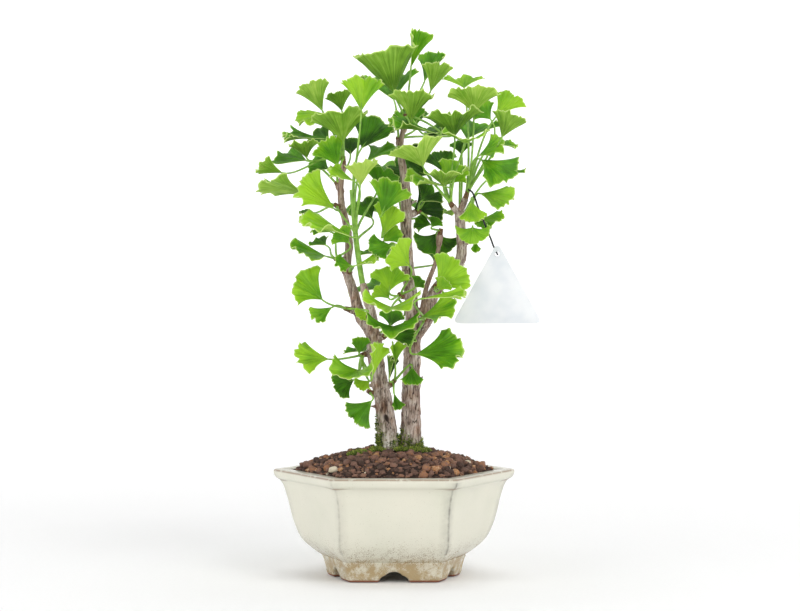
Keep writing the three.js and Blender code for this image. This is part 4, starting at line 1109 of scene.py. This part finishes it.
def trunk(side):
    """One trunk with its bark. Returns the places on it where moss grows, each with the way it points."""
    limbs = [limb_run(line, radii) for line, radii in LIMBS[side]]
    spurs = [spur_run(root, tip) for wood, root, tip, *_ in SHOOTS.values() if wood == side]
    stubs = [stub_run(*stub) for stub in STUBS[side]]
    bm = bmesh.new()
    bm.from_mesh(settled(bars(limbs + spurs + stubs, 4), ("REMESH", {"mode": "VOXEL", "voxel_size": 0.8}),
                         ("SMOOTH", {"factor": 0.4, "iterations": 2})))
    bm.normal_update()
    samples = [(point, radius) for points, radii in limbs for point, radius in zip(points, radii)]
    layers = {name: bm.verts.layers.float.new(name) for name in ("crack_and_shade", "young", "lichen", "moss")}
    bm.verts.index_update()
    mossy = []
    for vertex, spot, normal in [(vertex, vertex.co.copy(), vertex.normal.copy()) for vertex in bm.verts]:
        radius = min(samples, key=lambda sample: (sample[0] - spot).length_squared)[1]
        thick = clamp((radius - 1.5) / 6)
        crack_and_shade, flake = furrows(spot, thick)
        bulge = noise.noise(spot * 0.16) * 0.7 + noise.noise(spot * 0.5) * 0.28
        relief = 0.25 + 0.75 * thick
        offset = bulge * relief - (0.95 * crack_and_shade + 0.4 * flake) * relief
        # Cracks and flake edges are painted darker by their depth, partly darker bark and partly painted
        # shade.
        depth = max(crack_and_shade, flake)
        young = 0.65 * clamp((4.4 - radius) / 2) * (spot.z > 205)
        lichen = 0
        if side == "left":
            hole, hollow, lichen = [mark_share(mark, spot, normal) for mark in (KNOT, HOLLOW, LICHEN)]
            offset -= KNOT["depth"] * hole + HOLLOW["depth"] * hollow
            # The knot hole is painted near black and the hollow darker, as painted shade.
            depth = max(depth, 1.8 * hole, 0.55 * hollow)
            young = max(young, min(1, 1.3 * hollow))
        green = moss_share(side, spot, normal, lichen)
        growth = green * (0.75 + 1.3 * noise.noise(spot * 0.2 + Vector((3, 8, 1))))
        if 99 < spot.z < 138 and chance(SEEDS["bark_moss"] + vertex.index) < 1.3 * growth - 0.4:
            mossy.append((spot + normal * 0.1, (normal + Vector((0, 0, 0.5))).normalized()))
        shown = {"crack_and_shade": min(1, depth), "young": young, "lichen": lichen, "moss": green}
        for name, value in shown.items():
            vertex[layers[name]] = value
        # Down in the soil the wood stays plain.
        vertex.co = spot + normal * offset if spot.z > 88 else spot
    piece(f"bark_{side}", bm, [BARK], "bark", f"trunk_{side}")
    return mossy


# ---- The leaves ----


def blade_point(leaf, across, along):
    """A point of a blade, from its angle (-1 to 1 across the fan) and its distance from the foot."""
    spread, cone, fold = [math.radians(angle) for angle in leaf["habit"][:3]]
    droop, wave = leaf["habit"][3:]
    middle, side, up, length = leaf["middle"], leaf["side"], leaf["up"], leaf["length"]
    notch = leaf["notch"] * math.exp(-((across / LEAF["notch_width"]) ** 2))
    rounding = 0.05 * across ** 6
    reach = length * along * (1 - notch - rounding + leaf["margin"](across) * along ** 2)
    wrap = across * spread * (0.74 + 0.26 * along ** 2) / math.sin(cone)
    axis = middle * math.cos(cone) + up * math.sin(cone)
    lean = middle * math.sin(cone) - up * math.cos(cone)
    inward = axis * math.sin(cone) - (lean * math.cos(wrap) + side * math.sin(wrap)) * math.cos(cone)
    lateral = reach * math.sin(cone) * math.sin(wrap)
    offset = axis * (reach * math.cos(cone)) + lean * (reach * math.sin(cone) * math.cos(wrap))
    offset += side * (lateral * math.cos(fold)) + up * (abs(lateral) * math.sin(fold))
    lift = wave * along ** 3 * math.sin(across * 7 + leaf["turn"]) - droop * along ** 2
    lift += leaf["pleats"](across, along)
    return leaf["base"] + offset + inward * (length * lift)


def leaf_of(row, number):
    """One leaf's measures, with its own margin, pleats, tone with painted shade, and notch."""
    habit, base, tip, face, tone_and_shade = row
    start = place(base)
    middle = place(tip) - start
    length = middle.length * LEAF["lobes"]
    middle.normalize()
    up = Vector(face)
    up = (up - middle * up.dot(middle)).normalized()
    draws = [chance(SEEDS["leaves"] + 40 * number + i) for i in range(20)]
    gaps = []
    for spot, depth, width in zip(draws, draws[4:], draws[8:12]):
        gaps.append((2 * spot - 1, mix(0.02, 0.075, depth), mix(0.02, 0.045, width)))
    phases = [6.28 * draw for draw in draws[12:18]]

    def margin(across):
        """Waves of about 12, 5 and 3 mm along the margin, and four narrow gaps in it."""
        waves = sum(size * math.sin(across * rate + phase)
                    for size, rate, phase in zip((0.018, 0.016, 0.011), (10, 23, 43), phases))
        return waves - sum(depth * math.exp(-((across - spot) / width) ** 2) for spot, depth, width in gaps)

    def pleats(across, along):
        """Pleats that run out from the foot, and the margin's curl."""
        curl = 0.06 * along ** 6 * math.sin(across * 11 + phases[5])
        curl += 0.022 * along ** 8 * math.sin(across * 27 + phases[2])
        folds = 0.018 * math.sin(across * 14 + phases[3]) + 0.008 * math.sin(across * 33 + phases[4])
        return along ** 1.5 * folds + curl

    return {
        "base": start, "middle": middle, "side": up.cross(middle), "up": up, "length": length,
        "habit": HABITS[habit], "margin": margin, "pleats": pleats, "notch": mix(0.02, 0.15, draws[19] ** 2),
        "turn": 2 * math.pi * chance(number), "tone_and_shade": tone_and_shade + 0.16 * (draws[18] - 0.5),
    }


def stalk_points(start, way, leaf, steps):
    """The stalk's curve: it leaves the stem half along it and meets the blade in line with its middle."""
    span = (leaf["base"] - start).length
    first = start + ((leaf["base"] - start).normalized() + way).normalized() * (0.3 * span)
    last = leaf["base"] - leaf["middle"] * (0.3 * span)
    line = []
    for i in range(steps + 1):
        t = i / steps
        s = 1 - t
        near, far = first * (3 * s * s * t), last * (3 * s * t * t)
        line.append(start * s ** 3 + near + far + leaf["base"] * t ** 3)
    return line


def blade(bm, leaf, layers):
    """One blade as a fan-shaped sheet; its wall is added later."""
    made = bmesh.ops.create_grid(bm, x_segments=LEAF["across"], y_segments=LEAF["along"], size=1)
    vertices = made["verts"]
    chart = {}
    for vertex in vertices:
        across = -vertex.co.x
        along = 1 - 0.98 * ((1 - vertex.co.y) / 2) ** 1.3
        chart[vertex] = (across, along)
        vertex.co = blade_point(leaf, across, along)
        vertex[layers["tone_and_shade"]] = leaf["tone_and_shade"]
    for face in {face for vertex in vertices for face in vertex.link_faces}:
        for corner in face.loops:
            across, along = chart[corner.vert]
            corner[layers["chart"]].uv = (across + leaf["turn"] * 3, along)


def shoot(name, number):
    """A bunch of leaves: blades with a wall and a pale rim, round stalks, and the stem or bud under them."""
    _, root, tip, green, leaves = SHOOTS[name]
    way = (place(tip) - place(root)).normalized()
    foot = place(tip) - way * STEM["sunk"]
    stem = [foot, foot + way * 2] + [place(point) for point in green]
    tall = len(green) > 1
    sheets = bmesh.new()
    layers = {"tone_and_shade": sheets.verts.layers.float.new("tone_and_shade"), "chart": sheets.loops.layers.uv.new("blade")}
    stalks = []
    steps = LEAF["stalk_steps"]
    for order, row in enumerate(leaves):
        leaf = leaf_of(row, 100 * number + order)
        blade(sheets, leaf, layers)
        share = (order + 1) / (len(leaves) + 1)
        start = curve_point(stem, 0.35 + 0.6 * share if tall else 0.25 + 0.65 * share)
        points = stalk_points(start, curve_way(stem, share), leaf, steps)
        radii = [mix(*LEAF["stalk"], i / steps) for i in range(steps + 1)]
        # The stalk runs on as a keel under the blade.
        for along, radius in LEAF["keel"]:
            points.append(blade_point(leaf, 0, along))
            radii.append(radius)
        stalks.append((points, radii))
    flat = to_mesh(sheets)
    for face in (UPPER, LOWER, MARGIN):
        flat.materials.append(face)
    wall = {"thickness": LEAF["thickness"], "offset": 0, "material_offset": 1, "material_offset_rim": 2}
    bm = bmesh.new()
    bm.from_mesh(settled(flat, ("SOLIDIFY", wall)))
    join(bm, bars(stalks, 1), 3)
    shares = [i / 12 for i in range(13)]
    run = [curve_point(stem, share) for share in shares], [between(STEM["radii"], share) for share in shares]
    join(bm, bars([run], 2), 3 if tall else 4)
    return piece(f"leaves_{name}", bm, [UPPER, LOWER, MARGIN, STALK, SPUR], "leaf", f"shoot_{name}")


# ---- The stage ----


def stage():
    """A pale floor that sweeps up into a round wall."""
    reach, bend = STAGE["floor"], STAGE["bend"]
    sweep = [(0, 0), (reach, 0)]
    for i in range(1, 13):
        turn = i * math.pi / 24
        sweep.append((reach + bend * math.sin(turn), bend * (1 - math.cos(turn))))
    sweep.append((reach + bend, STAGE["wall"]))
    bm = welded(turned([(side, height - STAGE["below"]) for side, height in sweep], 64))
    bm.transform(Matrix.Scale(MM, 4))
    mesh = to_mesh(bm, "floor")
    mesh.materials.append(PAPER)
    mesh.shade_smooth()
    floor = bpy.data.objects.new("floor", mesh)
    scene.collection.objects.link(floor)


def light():
    """A white sky and three soft lamps that point at the middle of the plant."""
    sky = bpy.data.worlds.new("sky")
    sky.use_nodes = True
    inputs = sky.node_tree.nodes["Background"].inputs
    inputs["Color"].default_value = srgb("#ffffff")
    inputs["Strength"].default_value = SKY
    scene.world = sky
    for name, (spot, size, energy) in LAMPS.items():
        lamp = bpy.data.lights.new(name, "AREA")
        lamp.size = size
        lamp.energy = energy
        made = bpy.data.objects.new(name, lamp)
        made.location = spot
        made.rotation_euler = (Vector((0, 0, 0.24)) - Vector(spot)).to_track_quat("-Z", "Y").to_euler()
        scene.collection.objects.link(made)
    scene.view_settings.view_transform = "Standard"


camera()
skinned("label", LABEL)
tie()
pot()
skinned("soil", EARTH)
granules()
moss(trunk("left") + trunk("right"))
for number, name in enumerate(SHOOTS):
    shoot(name, number + 1)
stage()
light()
